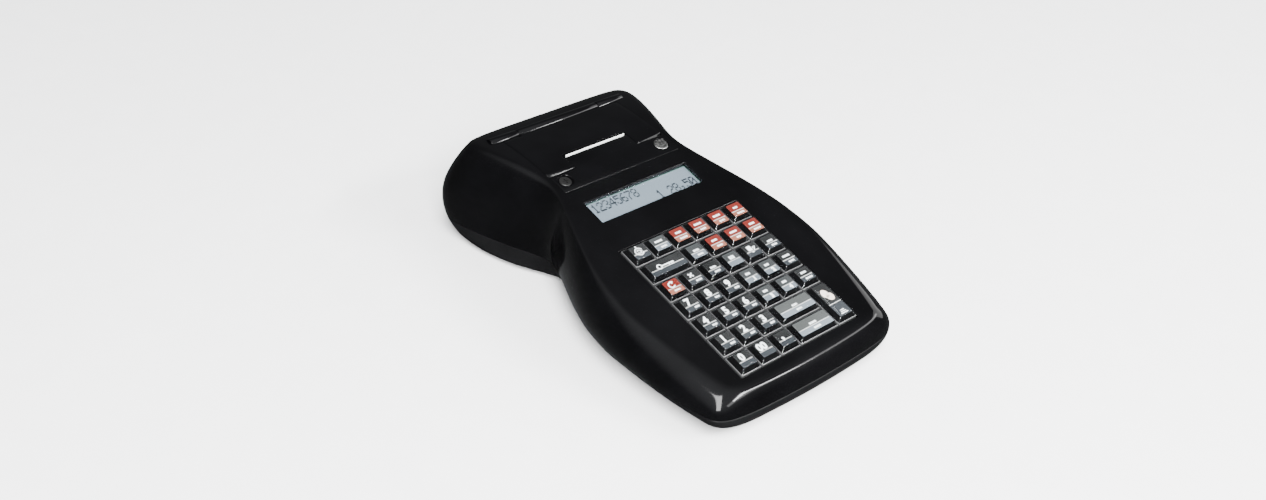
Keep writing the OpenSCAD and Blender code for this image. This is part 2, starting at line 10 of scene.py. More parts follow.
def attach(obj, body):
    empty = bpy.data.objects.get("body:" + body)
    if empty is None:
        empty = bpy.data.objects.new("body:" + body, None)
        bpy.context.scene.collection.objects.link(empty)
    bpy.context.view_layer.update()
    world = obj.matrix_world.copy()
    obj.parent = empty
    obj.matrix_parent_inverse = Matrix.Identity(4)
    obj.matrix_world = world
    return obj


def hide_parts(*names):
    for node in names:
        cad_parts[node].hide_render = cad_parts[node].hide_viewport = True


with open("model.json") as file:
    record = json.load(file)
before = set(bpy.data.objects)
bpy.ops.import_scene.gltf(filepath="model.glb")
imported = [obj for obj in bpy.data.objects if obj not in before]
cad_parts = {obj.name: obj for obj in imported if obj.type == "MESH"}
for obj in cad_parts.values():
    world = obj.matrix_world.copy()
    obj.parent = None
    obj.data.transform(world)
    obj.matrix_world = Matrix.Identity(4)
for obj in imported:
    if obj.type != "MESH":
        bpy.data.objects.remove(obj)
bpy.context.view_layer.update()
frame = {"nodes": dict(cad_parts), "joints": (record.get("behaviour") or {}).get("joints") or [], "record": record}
JOINTS = {j["name"]: j for j in frame["joints"]}

# ---- Frame: lengths below are millimetres on the deck, with y = 0 at the middle of the keys ----

MM = 0.001
HINGE_Y, HINGE_Z = 138.5, -9.5
PRESS = JOINTS["key_0_press"]["axis"]
TILT = math.atan2(PRESS[1], -PRESS[2])
TO_HINGE = Matrix.Translation(JOINTS["lid_hinge"]["pos_m"]) @ Matrix.Rotation(TILT, 4, "X")
DECK = TO_HINGE @ Matrix.Scale(MM, 4) @ Matrix.Translation((0, -HINGE_Y, -HINGE_Z))
ORIGIN = DECK @ Vector((0, 0, 0)) / MM
SIN, COS = math.sin(TILT), math.cos(TILT)


def height(p):
    """Height above the table of deck points, in mm."""
    return ORIGIN.z + SIN * p[..., 1] + COS * p[..., 2]


def table_z(y, h):
    """Deck z at deck y for a height h above the table."""
    return (h - ORIGIN.z - SIN * y) / COS


def upright(x, y, h):
    """Deck point for x, y and h on the table's own axes, in mm from the deck origin's foot."""
    return (x, COS * y + SIN * (h - ORIGIN.z), -SIN * y + COS * (h - ORIGIN.z))


# ---- Camera, light and floor ----

SENSOR, LENS, CLIP_START = 36, 40.66, 0.01
CAMERA_AT = (-0.4152, -0.4075, 0.4195)
CAMERA_TURN = (55.53, -4.21, -41.29)
# Name, direction, distance, width, depth and power, in metres and watts
SOFTBOXES = [
    ("right_softbox", (1.0, -0.05, 0.46), 2.6, 1.3, 1.3, 24),
    ("front_strip", (0.40, -0.68, 0.60), 1.5, 0.72, 0.09, 34),
    ("front_strip_dim", (0.50, -0.62, 0.60), 1.5, 2.2, 0.26, 24),
    ("camera_strip", (-0.40, -0.55, 0.72), 1.3, 0.42, 1.25, 95)]
LIGHT_TARGET = Vector((0, 0, 0.03))
SKY = (0.96, 0.98, 1, 1)
# The overhead light: its direction, the cosine at which it starts, and the strengths outside and inside
GLOW_TOWARDS, GLOW_EDGE = Vector((-0.20, -0.40, 0.90)).normalized(), 0.38
ROOM_STRENGTH, GLOW_STRENGTH = 0.18, 2.3
FLOOR_HALF, FLOOR_TONE = 4, (0.86, 0.86, 0.86)


def add_object(name, data):
    obj = bpy.data.objects.new(name, data)
    bpy.context.scene.collection.objects.link(obj)
    return obj


def add_camera():
    data = bpy.data.cameras.new("camera")
    data.sensor_width = SENSOR
    data.lens = LENS
    data.clip_start = CLIP_START
    camera = add_object("camera", data)
    camera.location = CAMERA_AT
    camera.rotation_euler = [math.radians(a) for a in CAMERA_TURN]
    bpy.context.scene.camera = camera


def add_light(name, direction, distance, width, depth, power):
    """A softbox at a distance along a direction from the target, facing it."""
    data = bpy.data.lights.new(name, "AREA")
    data.shape = "RECTANGLE"
    data.size = width
    data.size_y = depth
    data.energy = power
    light = add_object(name, data)
    away = Vector(direction).normalized()
    light.location = LIGHT_TARGET + away * distance
    light.rotation_euler = away.to_track_quat("Z", "Y").to_euler()


def add_world():
    """A dim room with one broad soft light overhead, towards the viewer and without an edge."""
    world = bpy.data.worlds.new("studio")
    world.use_nodes = True
    tree = world.node_tree
    sky = tree.nodes["Background"]
    sky.inputs["Color"].default_value = SKY
    where = add_node(tree, "TexCoord")
    towards_light = add_node(tree, "VectorMath", [(1, GLOW_TOWARDS)])
    towards_light.operation = "DOT_PRODUCT"
    link(where, "Generated", towards_light, 0)
    glow = mapped(tree, towards_light, "Value", (GLOW_EDGE, 1), (ROOM_STRENGTH, GLOW_STRENGTH))
    glow.interpolation_type = "SMOOTHSTEP"
    link(glow, "Result", sky, "Strength")
    bpy.context.scene.world = world


def add_floor():
    """A pale floor that glossy surfaces don't mirror."""
    corners = [(sx * FLOOR_HALF, sy * FLOOR_HALF, 0) for sx, sy in SQUARE]
    floor = as_object("floor", corners, [(0, 1, 2, 3)])
    paper = surface("floor_paper", FLOOR_TONE, 0.7, vary=0.01, rough_vary=0.05, grain=900, depth=0.01)
    floor.data.materials.append(paper)
    floor.visible_glossy = False


# ---- Materials ----

# The range in which most of the noise's values lie
NOISE_LOW, NOISE_HIGH = 0.3, 0.7
# How rough the clear skins are, and how much they mirror at a glancing angle
CLEAR_ROUGHNESS = (0.03, 0.1)
GLANCE_POWER, GLANCE_MIRROR = 5, 0.9
# Where a label's paler front strip, a painted highlight, ends and its rear tone starts, as shares of its length
LABEL_HIGHLIGHT_END, LABEL_HIGHLIGHT_FADE_END = 0.32, 0.46


def link(a, out, b, name):
    a.id_data.links.new(a.outputs[out], b.inputs[name])


def set_sockets(node, values):
    """Puts values, as (socket, value) pairs, on a node's own sockets."""
    for socket, value in values:
        node.inputs[socket].default_value = value
    return node


def add_node(tree, kind, values=()):
    return set_sockets(tree.nodes.new("ShaderNode" + kind), values)


def ramp(tree, stops):
    node = add_node(tree, "ValToRGB")
    elements = node.color_ramp.elements
    while len(elements) < len(stops):
        elements.new(0.5)
    for element, (at, colour) in zip(elements, stops):
        element.position = at
        element.color = (*colour, 1)
    return node


def noise(tree, scale, detail, stretch=(1, 1, 1)):
    """Noise over object coordinates, which are metres."""
    where = add_node(tree, "TexCoord")
    mapping = add_node(tree, "Mapping", [("Scale", stretch)])
    node = add_node(tree, "TexNoise", [("Scale", scale), ("Detail", detail)])
    link(where, "Object", mapping, "Vector")
    link(mapping, "Vector", node, "Vector")
    return node


def mapped(tree, source, output, start, end):
    """A node that stretches a source's values from the start pair to the end pair."""
    sockets = ("From Min", "From Max", "To Min", "To Max")
    node = add_node(tree, "MapRange", zip(sockets, (*start, *end)))
    link(source, output, node, "Value")
    return node


def arithmetic(tree, operation, source, output, *values):
    """A node that works on a source's value and the given ones."""
    node = add_node(tree, "Math", enumerate(values, 1))
    node.operation = operation
    link(source, output, node, 0)
    return node


def new_material(name):
    mat = bpy.data.materials.new(name)
    mat.use_nodes = True
    return mat, mat.node_tree, mat.node_tree.nodes["Principled BSDF"]


def surface(name, colour, roughness, metallic=0.0, vary=0.15, rough_vary=0.25, grain=2500,
            depth=0.02, stretch=(1, 1, 1), specular=0.5, sheen=0.0, patch=60):
    """A moulded, ground or brushed surface: colour and gloss vary in patches, and a fine grain
    of the given depth in mm is raised by bump. Returns the material."""
    mat, tree, shader = new_material(name)
    set_sockets(shader, [("Metallic", metallic), ("Specular IOR Level", specular), ("Sheen Weight", sheen)])
    patches = noise(tree, patch, 4)
    low = [c * (1 - vary) for c in colour]
    high = [min(1, c * (1 + vary)) for c in colour]
    tint = ramp(tree, [(NOISE_LOW, low), (NOISE_HIGH, high)])
    link(patches, "Fac", tint, "Fac")
    link(tint, "Color", shader, "Base Color")
    fine = noise(tree, grain, 3, stretch)
    spread = (roughness * (1 - rough_vary), min(1, roughness * (1 + rough_vary)))
    gloss = mapped(tree, patches, "Fac", (NOISE_LOW, NOISE_HIGH), spread)
    link(gloss, "Result", shader, "Roughness")
    bump = add_node(tree, "Bump", [("Distance", depth * MM)])
    link(fine, "Fac", bump, "Height")
    link(bump, "Normal", shader, "Normal")
    return mat


def clear_plastic(name, tint, least):
    """A thin clear skin: what is behind it shows, and it mirrors more at a glancing angle."""
    mat, tree, gloss = new_material(name)
    set_sockets(gloss, [("Metallic", 1.0), ("Base Color", (0.95, 0.97, 1, 1))])
    smear = noise(tree, 120, 3)
    spread = mapped(tree, smear, "Fac", (0, 1), CLEAR_ROUGHNESS)
    link(spread, "Result", gloss, "Roughness")
    through = add_node(tree, "BsdfTransparent", [("Color", (*tint, 1))])
    facing = add_node(tree, "LayerWeight")
    steep = arithmetic(tree, "POWER", facing, "Facing", GLANCE_POWER)
    share = arithmetic(tree, "MULTIPLY_ADD", steep, "Value", GLANCE_MIRROR, least)
    mix = add_node(tree, "MixShader")
    link(share, "Value", mix, 0)
    link(through, "BSDF", mix, 1)
    link(gloss, "BSDF", mix, 2)
    link(mix, "Shader", tree.nodes["Material Output"], "Surface")
    return mat


def label_paper_with_highlight(name, rear, front):
    """A printed insert: one tone where the main mark stands, and a paler one along the front that is a painted
    highlight.
    """
    mat = surface(name, rear, 0.35, grain=4000, depth=0.004)
    tree = mat.node_tree
    shader = tree.nodes["Principled BSDF"]
    where = add_node(tree, "UVMap")
    parts = add_node(tree, "SeparateXYZ")
    link(where, "UV", parts, "Vector")
    # The paler front tone that fades into the rear tone is a painted highlight
    tone = ramp(tree, [(0.0, front), (LABEL_HIGHLIGHT_END, front), (LABEL_HIGHLIGHT_FADE_END, rear), (1.0, rear)])
    link(parts, "Y", tone, "Fac")
    patches = shader.inputs["Base Color"].links[0].from_node
    for element, shade in zip(patches.color_ramp.elements, (0.75, 1.0)):
        element.color = (shade, shade, shade, 1)
    mix = add_node(tree, "Mix")
    mix.data_type = "RGBA"
    mix.blend_type = "MULTIPLY"
    mix.inputs["Factor"].default_value = 0.5
    link(tone, "Color", mix, "A")
    link(patches, "Color", mix, "B")
    link(mix, "Result", shader, "Base Color")
    return mat


GLOSS_BLACK = surface("gloss_black_abs", (0.0012, 0.0012, 0.0014), 0.09, vary=0.3, rough_vary=0.4,
                      grain=700, depth=0.0012, patch=35, specular=0.14)
SATIN_SHELL = surface("satin_shell_abs", (0.004, 0.004, 0.0043), 0.42, vary=0.25, grain=5200,
                      depth=0.012, specular=0.06)
CARRIER = surface("key_carrier", (0.002, 0.002, 0.0022), 0.3, grain=3000, depth=0.002, specular=0.2)
# The grey legend colour is a painted highlight line across every label
MARK, MARK_HIGHLIGHT_LINE, MARK_CREAM = (
    surface("legend_print" + kind, colour, 0.45, vary=vary, grain=5000, depth=0.002)
    for kind, colour, vary in (("", (0.80, 0.83, 0.82), 0.05), ("_grey", (0.46, 0.46, 0.44), 0.08),
                               ("_cream", (0.75, 0.62, 0.53), 0.06)))
# Each label's second colour is its paler front, a painted highlight
LABELS = {
    "key_dark": label_paper_with_highlight("label_dark", (0.0066, 0.007, 0.0068), (0.019, 0.022, 0.025)),
    "key_grey": label_paper_with_highlight("label_grey", (0.025, 0.027, 0.027), (0.098, 0.115, 0.130)),
    "key_light": label_paper_with_highlight("label_light", (0.042, 0.045, 0.043), (0.125, 0.145, 0.162)),
    "key_red": label_paper_with_highlight("label_red", (0.105, 0.010, 0.006), (0.19, 0.066, 0.040))}
CAP_CLEAR = clear_plastic("clear_cap", (0.93, 0.94, 0.95), least=0.022)
# The rim's lighter grey is a painted highlight where light catches the clear flange
CAP_RIM_HIGHLIGHT = surface("cap_rim_highlight", (0.026, 0.0265, 0.027), 0.25, grain=3000, depth=0.002)
WINDOW_CLEAR = clear_plastic("window_clear", (0.96, 0.98, 0.99), least=0.02)
LCD_FACE = surface("lcd_reflector", (0.095, 0.112, 0.128), 0.6, vary=0.03, grain=4000, depth=0.001,
                   patch=25)
LCD_DOT = surface("lcd_dot", (0.003, 0.004, 0.006), 0.4, vary=0.05, grain=5000, depth=0.001)
STEEL = surface("brushed_steel", (0.45, 0.45, 0.46), 0.32, metallic=1, grain=3000, depth=0.006,
                stretch=(0.04, 1, 1))
SEAL_METAL = surface("seal_metal", (0.20, 0.20, 0.195), 0.30, metallic=1, vary=0.2, rough_vary=0.3,
                     grain=1100, depth=0.22, patch=800)
BLACK_OXIDE = surface("black_oxide", (0.004, 0.004, 0.004), 0.45, depth=0.01, specular=0.25)
BRASS = surface("turned_brass", (0.62, 0.42, 0.16), 0.28, metallic=1, grain=4000, depth=0.004)
BOARD = surface("solder_mask", (0.006, 0.048, 0.020), 0.3, vary=0.12, grain=1500, patch=400)
SILICONE = surface("silicone", (0.32, 0.32, 0.31), 0.6, grain=3000, depth=0.01)
CERAMIC = surface("head_ceramic", (0.42, 0.36, 0.26), 0.35, depth=0.008)
PLATEN_RUBBER = surface("platen_rubber", (0.015, 0.015, 0.016), 0.7, grain=3500, depth=0.03, sheen=0.1)
FOOT_RUBBER = surface("foot_rubber", (0.02, 0.02, 0.021), 0.75, grain=2600, depth=0.05, sheen=0.1)
GEAR_PLASTIC = surface("gear_acetal", (0.68, 0.67, 0.62), 0.38, grain=2800, depth=0.01)
PAPER = surface("thermal_paper", (0.86, 0.86, 0.85), 0.55, vary=0.03, grain=3500, depth=0.012)
SLEEVE = surface("cell_sleeve", (0.03, 0.09, 0.26), 0.25, grain=1800, depth=0.01)
JACK_PLASTIC = surface("jack_plastic", (0.012, 0.012, 0.012), 0.45, grain=3000, depth=0.015)

# ---- Mesh tools ----

SQUARE = ((-1, -1), (1, -1), (1, 1), (-1, 1))
CORNER_STEPS, TURN_STEPS = 5, 56


def as_mesh(name, verts, faces):
    mesh = bpy.data.meshes.new(name)
    mesh.from_pydata([tuple(v) for v in verts], [], [tuple(f) for f in faces])
    mesh.update()
    return mesh


def as_object(name, verts, faces):
    return add_object(name, as_mesh(name, verts, faces))


def face_outwards(obj):
    mesh = bmesh.new()
    mesh.from_mesh(obj.data)
    bmesh.ops.recalc_face_normals(mesh, faces=mesh.faces)
    mesh.to_mesh(obj.data)
    mesh.free()
    return obj


def apply_modifiers(obj):
    graph = bpy.context.evaluated_depsgraph_get()
    mesh = bpy.data.meshes.new_from_object(obj.evaluated_get(graph))
    obj.modifiers.clear()
    obj.data = mesh


def boolean(obj, others, operation="DIFFERENCE"):
    """Cuts with, or adds, each of the other objects, which are used up."""
    for other in others:
        modifier = obj.modifiers.new("cut", "BOOLEAN")
        modifier.operation = operation
        modifier.solver = "MANIFOLD"
        modifier.object = other
    bpy.context.view_layer.update()
    apply_modifiers(obj)
    obj.data.materials.clear()
    for other in others:
        bpy.data.objects.remove(other)


def bevel(obj, width):
    modifier = obj.modifiers.new("bevel", "BEVEL")
    modifier.width = width
    modifier.segments = 3
    modifier.limit_method = "ANGLE"
    modifier.angle_limit = math.radians(35)
    bpy.context.view_layer.update()
    apply_modifiers(obj)


def join(obj, others):
    """Adds the other objects' meshes to obj, as loose parts of the same piece."""
    mesh = bmesh.new()
    mesh.from_mesh(obj.data)
    for other in others:
        mesh.from_mesh(other.data)
        bpy.data.objects.remove(other)
    mesh.to_mesh(obj.data)
    mesh.free()
    return obj


def finish_piece(obj, body, materials, replaces=(), sharp=32, smooth=True):
    """Puts a piece made on the deck's axes in its place, and gives it its body and materials."""
    mesh = obj.data
    mesh.transform(DECK)
    for mat in materials:
        mesh.materials.append(mat)
    if smooth:
        mesh.shade_smooth()
        mesh.set_sharp_from_angle(angle=math.radians(sharp))
    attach(obj, body)
    if replaces:
        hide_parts(*replaces)


def circle(radius, count=40):
    """Points round a circle about the origin."""
    angles = [2 * math.pi * k / count for k in range(count)]
    return [(radius * math.cos(a), radius * math.sin(a)) for a in angles]


def rounded(half_x, half_y, radius, z):
    """A rectangle with round corners, as points that run anticlockwise."""
    points = []
    for quarter, (sx, sy) in enumerate(((1, 1), (-1, 1), (-1, -1), (1, -1))):
        for k in range(CORNER_STEPS + 1):
            a = math.radians(90 * quarter + 90 * k / CORNER_STEPS)
            points.append((sx * (half_x - radius) + radius * math.cos(a),
                           sy * (half_y - radius) + radius * math.sin(a), z))
    return points


def ring_faces(start, end, n):
    return [(start + i, start + (i + 1) % n, end + (i + 1) % n, end + i) for i in range(n)]


def loft(name, rings, centre=(0, 0, 0)):
    """A closed solid through rings of equal length, from its bottom to its top."""
    n, last = len(rings[0]), len(rings) - 1
    verts = [[a + b for a, b in zip(p, centre)] for ring in rings for p in ring]
    faces = [f for k in range(last) for f in ring_faces(k * n, (k + 1) * n, n)]
    faces.append(range(n - 1, -1, -1))
    faces.append(range(last * n, (last + 1) * n))
    return as_object(name, verts, faces)


def revolve(name, profile, y, z):
    """A closed solid turned about an axis along x, from (x, radius) pairs in order round it."""
    n, count = TURN_STEPS, len(profile)
    verts = [(x, y + cy, z + cz) for x, r in profile for cy, cz in circle(r, n)]
    faces = [f for k in range(count) for f in ring_faces(k * n, (k + 1) % count * n, n)]
    return face_outwards(as_object(name, verts, faces))


def on_deck(x, y, z):
    return (x, y, z)


def round_stack(name, place, x, y, levels):
    """A round solid from (height, radius) pairs; place turns x, y and a height into a deck point."""
    rings = [[place(x + cx, y + cy, h) for cx, cy in circle(r)] for h, r in levels]
    return face_outwards(loft(name, rings))


def slab(name, xs, ys, inside, sink=lambda x, y: 0):
    """A plate under the top surface, over the cells of a grid for which inside(x, y) holds."""
    cells = {(i, j) for i in range(len(xs) - 1) for j in range(len(ys) - 1)
             if inside((xs[i] + xs[i + 1]) / 2, (ys[j] + ys[j + 1]) / 2)}
    verts, index, faces = [], {}, []

    def vert(i, j, level):
        if (i, j, level) not in index:
            index[i, j, level] = len(verts)
            x, y = xs[i], ys[j]
            verts.append((x, y, float(top_z(y)) - (sink(x, y) if level else WALL)))
        return index[i, j, level]

    for i, j in cells:
        corners = [(i, j), (i + 1, j), (i + 1, j + 1), (i, j + 1)]
        beyond = [(i, j - 1), (i + 1, j), (i, j + 1), (i - 1, j)]
        faces.append([vert(*c, 1) for c in corners])
        faces.append([vert(*c, 0) for c in corners[:1] + corners[:0:-1]])
        for p, q, cell in zip(corners, corners[1:] + corners[:1], beyond):
            if cell not in cells:
                faces.append([vert(*p, 0), vert(*q, 0), vert(*q, 1), vert(*p, 1)])
    return as_object(name, verts, faces)


def steps(*parts):
    """Sorted grid lines from (start, end, count) parts and single values."""
    out = set()
    for part in parts:
        if isinstance(part, tuple):
            start, end, count = part
            out |= {round(start + (end - start) * k / count, 4) for k in range(count + 1)}
        else:
            out.add(part)
    return sorted(out)


# ---- Housing surface ----

# Right halves of the deck's edge, the widest line and the underside's edge, from front to rear
DECK_EDGE = [
    (0, -48.5), (24, -48), (41, -46.8), (46.5, -44.6), (49.2, -40),
    (54.6, -19), (58.8, 3), (59.6, 16), (58, 33), (55, 47),
    (50.5, 61), (45.7, 75), (41.8, 87), (41, 97), (43.7, 110),
    (47.6, 125), (50.3, 138), (49.5, 144.3), (43.5, 147.8),
    (22, 148.5), (0, 148.5)]
WAIST_LINE = [
    (0, -58.5, -11), (25, -58, -11), (46, -56.5, -11.5), (57.5, -52, -10), (61.5, -43, -9.5),
    (65.5, -21, -11), (67.6, 2, -11.5), (67.6, 16, -12.5), (65, 32, -13), (60.5, 45, -14),
    (54.5, 58.5, -15), (48.3, 72, -15.5), (44.5, 83, -16), (45.8, 93, -17.5), (51, 107, -20.5),
    (57, 123, -25), (61.5, 137, -30), (62, 145.5, -34), (55, 151.5, -37),
    (27, 153.5, -38), (0, 153.5, -38)]
BASE_EDGE = [
    (0, -53), (24, -52.5), (39, -50), (44.5, -45.5), (47, -38),
    (49, -19), (50.5, 2), (50.5, 15), (48.5, 30), (45, 43),
    (41, 55), (37.5, 65), (36.5, 74), (41, 84), (48.5, 98),
    (53.5, 114), (54.5, 127), (51.5, 137), (44, 143),
    (22, 145), (0, 145)]
FALL_START, FALL_END, FALL = 84, 148, 10.5
DECK_ROUND, HEAD_ROUND = 1.2, 3.0
# How far the side bulges, from a straight line at 0 to a quarter of an oval at 1
DECK_BULGE, HEAD_BULGE = 0.85, 0.45
BULGE_END, SLOPE_START = 82, 104
WALL, FOOT_H, SEAM = 2.2, 3.0, 13.0
SEAM_GROOVE = 0.28
OUTLINE_STEPS = 8
# Steps of the brim's round edge, after which the side starts, and of the side above and below
BRIM_STEPS, SIDE_STEPS = 6, 12
BRIM_FLAT, BASE_FLAT = 0.6, 1.2
# The largest share of the side that the brim's round edge may take
TURN_MOST = 0.6


def top_z(y):
    """Height of the top surface over the deck's plane, at deck y."""
    return -FALL * (np.maximum(0, y - FALL_START) / (FALL_END - FALL_START)) ** 2


def eased(y):
    """0 on the deck and 1 on the head."""
    t = np.clip((y - BULGE_END) / (SLOPE_START - BULGE_END), 0, 1)
    return t * t * (3 - 2 * t)


def ring_through(points):
    """A closed smooth ring through a half outline and its mirror image."""
    half = np.array([(*p, 0)[:3] for p in points], float)
    mirror = np.array((-1, 1, 1))
    last = len(half) - 1

    def at(i):
        return half[-i] * mirror if i < 0 else half[2 * last - i] * mirror if i > last else half[i]

    right = []
    for i in range(last):
        a, b, c, d = at(i - 1), at(i), at(i + 1), at(i + 2)
        for k in range(OUTLINE_STEPS):
            t = k / OUTLINE_STEPS
            right.append(0.5 * (2 * b + (c - a) * t + (2 * a - 5 * b + 4 * c - d) * t * t
                                + (3 * b - a - 3 * c + d) * t ** 3))
    right.append(half[-1])
    ring = np.array(right + [p * mirror for p in right[-2:0:-1]])
    for _ in range(4):
        ring = 0.5 * ring + 0.25 * (np.roll(ring, 1, 0) + np.roll(ring, -1, 0))
    return ring


def inset(ring, distance):
    """Moves a ring's points inwards in plan."""
    along = np.roll(ring, -1, 0) - np.roll(ring, 1, 0)
    along[:, 2] = 0
    along /= np.linalg.norm(along, axis=1)[:, None]
    inwards = np.stack([-along[:, 1], along[:, 0], 0 * along[:, 0]], 1)
    return ring + inwards * np.reshape(distance, (-1, 1))


def columns(depth):
    """Points down every column of the body's side, inset by depth, as rings from the top's brim to
    the underside's edge. Also gives the ring inside the brim that keeps the top flat."""
    edge = inset(ring_through(DECK_EDGE), depth)
    wide = inset(ring_through(WAIST_LINE), depth)
    base = inset(ring_through(BASE_EDGE), depth)
    edge[:, 2] = top_z(edge[:, 1]) - depth
    base[:, 2] = table_z(base[:, 1], FOOT_H + depth)
    ease = eased(edge[:, 1])
    turn_r = DECK_ROUND + (HEAD_ROUND - DECK_ROUND) * ease
    bulge = DECK_BULGE + (HEAD_BULGE - DECK_BULGE) * ease
    brim = inset(edge, turn_r)
    brim[:, 2] = top_z(brim[:, 1]) - depth
    flat = inset(brim, BRIM_FLAT)
    flat[:, 2] = top_z(flat[:, 1]) - depth

    def side(u):
        u = np.reshape(u, (-1, 1))
        k = bulge[:, None]
        across = u + (np.sin(np.pi / 2 * u) - u) * k
        down = u + (1 - np.cos(np.pi / 2 * u) - u) * k
        return np.concatenate([edge[:, :2] + (wide[:, :2] - edge[:, :2]) * across,
                               edge[:, 2:] + (wide[:, 2:] - edge[:, 2:]) * down], 1)

    turn = np.minimum(TURN_MOST, turn_r / np.linalg.norm(wide - edge, axis=1))
    tangent = side(turn)
    rings = []
    for t in np.linspace(0, 1, BRIM_STEPS + 1):
        rings.append((1 - t) ** 2 * brim + 2 * t * (1 - t) * edge + t * t * tangent)
    for t in np.linspace(0, 1, SIDE_STEPS + 1)[1:]:
        rings.append(side(turn + (1 - turn) * t))
    for v in np.radians(np.linspace(0, 90, SIDE_STEPS + 1)[1:]):
        rings.append(np.concatenate([base[:, :2] + (wide[:, :2] - base[:, :2]) * np.cos(v),
                                     wide[:, 2:] + (base[:, 2:] - wide[:, 2:]) * np.sin(v)], 1))
    rings = np.array(rings)
    # Evens out the rings near the widest line, where the two curves meet
    for _ in range(6):
        rings[8:-3] = 0.5 * rings[8:-3] + 0.25 * (rings[7:-4] + rings[9:-2])
    return flat, rings


def resampled(path, count):
    """A path's points again, at even steps."""
    length = np.concatenate([[0], np.cumsum(np.linalg.norm(np.diff(path, axis=0), axis=1))])
    want = np.linspace(0, length[-1], count)
    return np.stack([np.interp(want, length, path[:, a]) for a in range(3)], 1)


def split_at(rings, level, upper, count):
    """The part of every column of the side above or below a height over the table."""
    out = []
    for i in range(rings.shape[1]):
        path = rings[BRIM_STEPS:, i]
        over = height(path) - level
        k = int(np.argmax(over < 0))
        t = over[k - 1] / (over[k - 1] - over[k])
        cut = path[k - 1] + (path[k] - path[k - 1]) * t
        part = np.vstack([path[:k], cut]) if upper else np.vstack([cut, path[k:]])
        out.append(resampled(part, count))
    return list(np.array(out).transpose(1, 0, 2))


def cap_faces(start, n, flip):
    """Closes a ring with strips that join its two mirrored halves."""
    half, end = n // 2, start + n
    faces = [(start, start + 1, end - 1), (start + half - 1, start + half, start + half + 1)]
    faces += [(start + i, start + i + 1, end - i - 1, end - i) for i in range(1, half - 1)]
    return [f[::-1] for f in faces] if flip else faces


def shell_from(name, outer, inner):
    """A shell between two stacks of rings that both run from their closed end to the open edge."""
    n = len(outer[0])
    rings = list(outer) + list(inner)[::-1]
    last = len(rings) - 1
    faces = [f for k in range(last) for f in ring_faces((k + 1) * n, k * n, n)]
    faces += cap_faces(0, n, False) + cap_faces(last * n, n, True)
    return face_outwards(as_object(name, np.concatenate(rings), faces))


def towards(a, b, distance):
    """Each point of ring a, moved towards its partner in ring b."""
    away = b - a
    return a + away / np.linalg.norm(away, axis=1)[:, None] * distance


def upper_shell():
    flat, rings = columns(0)
    flat_in, rings_in = columns(WALL)
    lip = split_at(rings, SEAM, True, 3)[-1]
    side = split_at(rings, SEAM + SEAM_GROOVE, True, 22)
    side_in = split_at(rings_in, SEAM, True, 16)
    outer = [flat, *rings[:BRIM_STEPS + 1], *side[1:], towards(lip, side_in[-1], SEAM_GROOVE)]
    return shell_from("upper_shell", outer, [flat_in, rings_in[0], rings_in[BRIM_STEPS], *side_in[1:]])


def lower_shell():
    rings = columns(0)[1]
    rings_in = columns(WALL)[1]
    lip = split_at(rings, SEAM, False, 3)[0]
    side = split_at(rings, SEAM - SEAM_GROOVE, False, 20)[::-1]
    side_in = split_at(rings_in, SEAM, False, 12)[::-1]
    under = inset(rings[-1], BASE_FLAT)
    under[:, 2] = table_z(under[:, 1], FOOT_H)
    return shell_from("lower_shell", [under, *side, towards(lip, side_in[-1], SEAM_GROOVE)], side_in)


# ---- Housings, panel and lid ----

PITCH_X, PITCH_Y = 12.7, 12.3
COLS, ROWS = 6, 7
GRID_X, GRID_Y = COLS * PITCH_X / 2, ROWS * PITCH_Y / 2
WELL_GAP, WELL_WALL, WELL_TOP, WELL_FLOOR = 0.35, 1.6, -4.1, 1.5
PLUNGER = 3.4
WINDOW_W, WINDOW_L, WINDOW_Y = 65.8, 14.3, 69.5
LID_X, PANEL_FRONT, TAB_FRONT = 37.0, 86.4, 99.4
LID_REAR, LID_LIP = 135.2, 0.8
SCOOP_LEAST, SCOOP_MORE, SCOOP_SLOPE = 0.35, 1.3, 0.8
TONGUE_X, SLOT_FRONT, SLOT_REAR = 20.3, 108.2, 110.8
OPENING_DEPTH, OPENING_ROUND, CUT_CORNER = 3.19, 0.3, 0.5
FIT = 0.15
KNUCKLE_X, KNUCKLE_GAP, BARREL_X, BARREL_R, PIN_BORE = 25.7, 0.4, 43.0, 3.2, 1.25
LEDGE_X, LEDGE_Y, LEDGE_Z = (-40, 40), (88.5, 98.5), (-5.6, -3.2)
PORT_R, PORT_START, PORT_END = 5, 3, 30
ROLL_Y, ROLL_Z, CRADLE_R = 125.5, -33.5, 16.5
RIBS_X, RIB_HALF, RIB_Y, RIB_TOP = (-15, 0, 15), 1, (116.8, 142.8), 23
POST_R, PILOT_R, POST_COVER = 3.6, 1.25, 2.4
# The slot panel's two screws on the deck's axes, and the base's four on the table's
PANEL_SCREW_X, PANEL_SCREW_Y = 31.2, 93.7
BASE_SCREWS = [(-45, -25), (45, -25), (-44, 116), (44, 116)]


def edge_profile(radius, count):
    """A round edge below the deck's plane and a cut above it, as (outwards, up) pairs."""
    angles = np.radians(np.linspace(90, 12, count))
    profile = [(radius * (1 - math.sin(a)), radius * (math.cos(a) - 1)) for a in angles]
    return profile + [(profile[-1][0], 3)]


def flared(half_x, half_y, depth, fillet, centre):
    """A cutter with a round edge where it meets the deck's plane."""
    rings = [rounded(half_x + out, half_y + out, CUT_CORNER + out, z)
             for out, z in [(0, -depth)] + edge_profile(fillet, 7)]
    return loft("cutter", rings, centre)


def box_cutter(x, y, z):
    return loft("cutter", [[(x[0], y[0], h), (x[1], y[0], h), (x[1], y[1], h), (x[0], y[1], h)] for h in z])


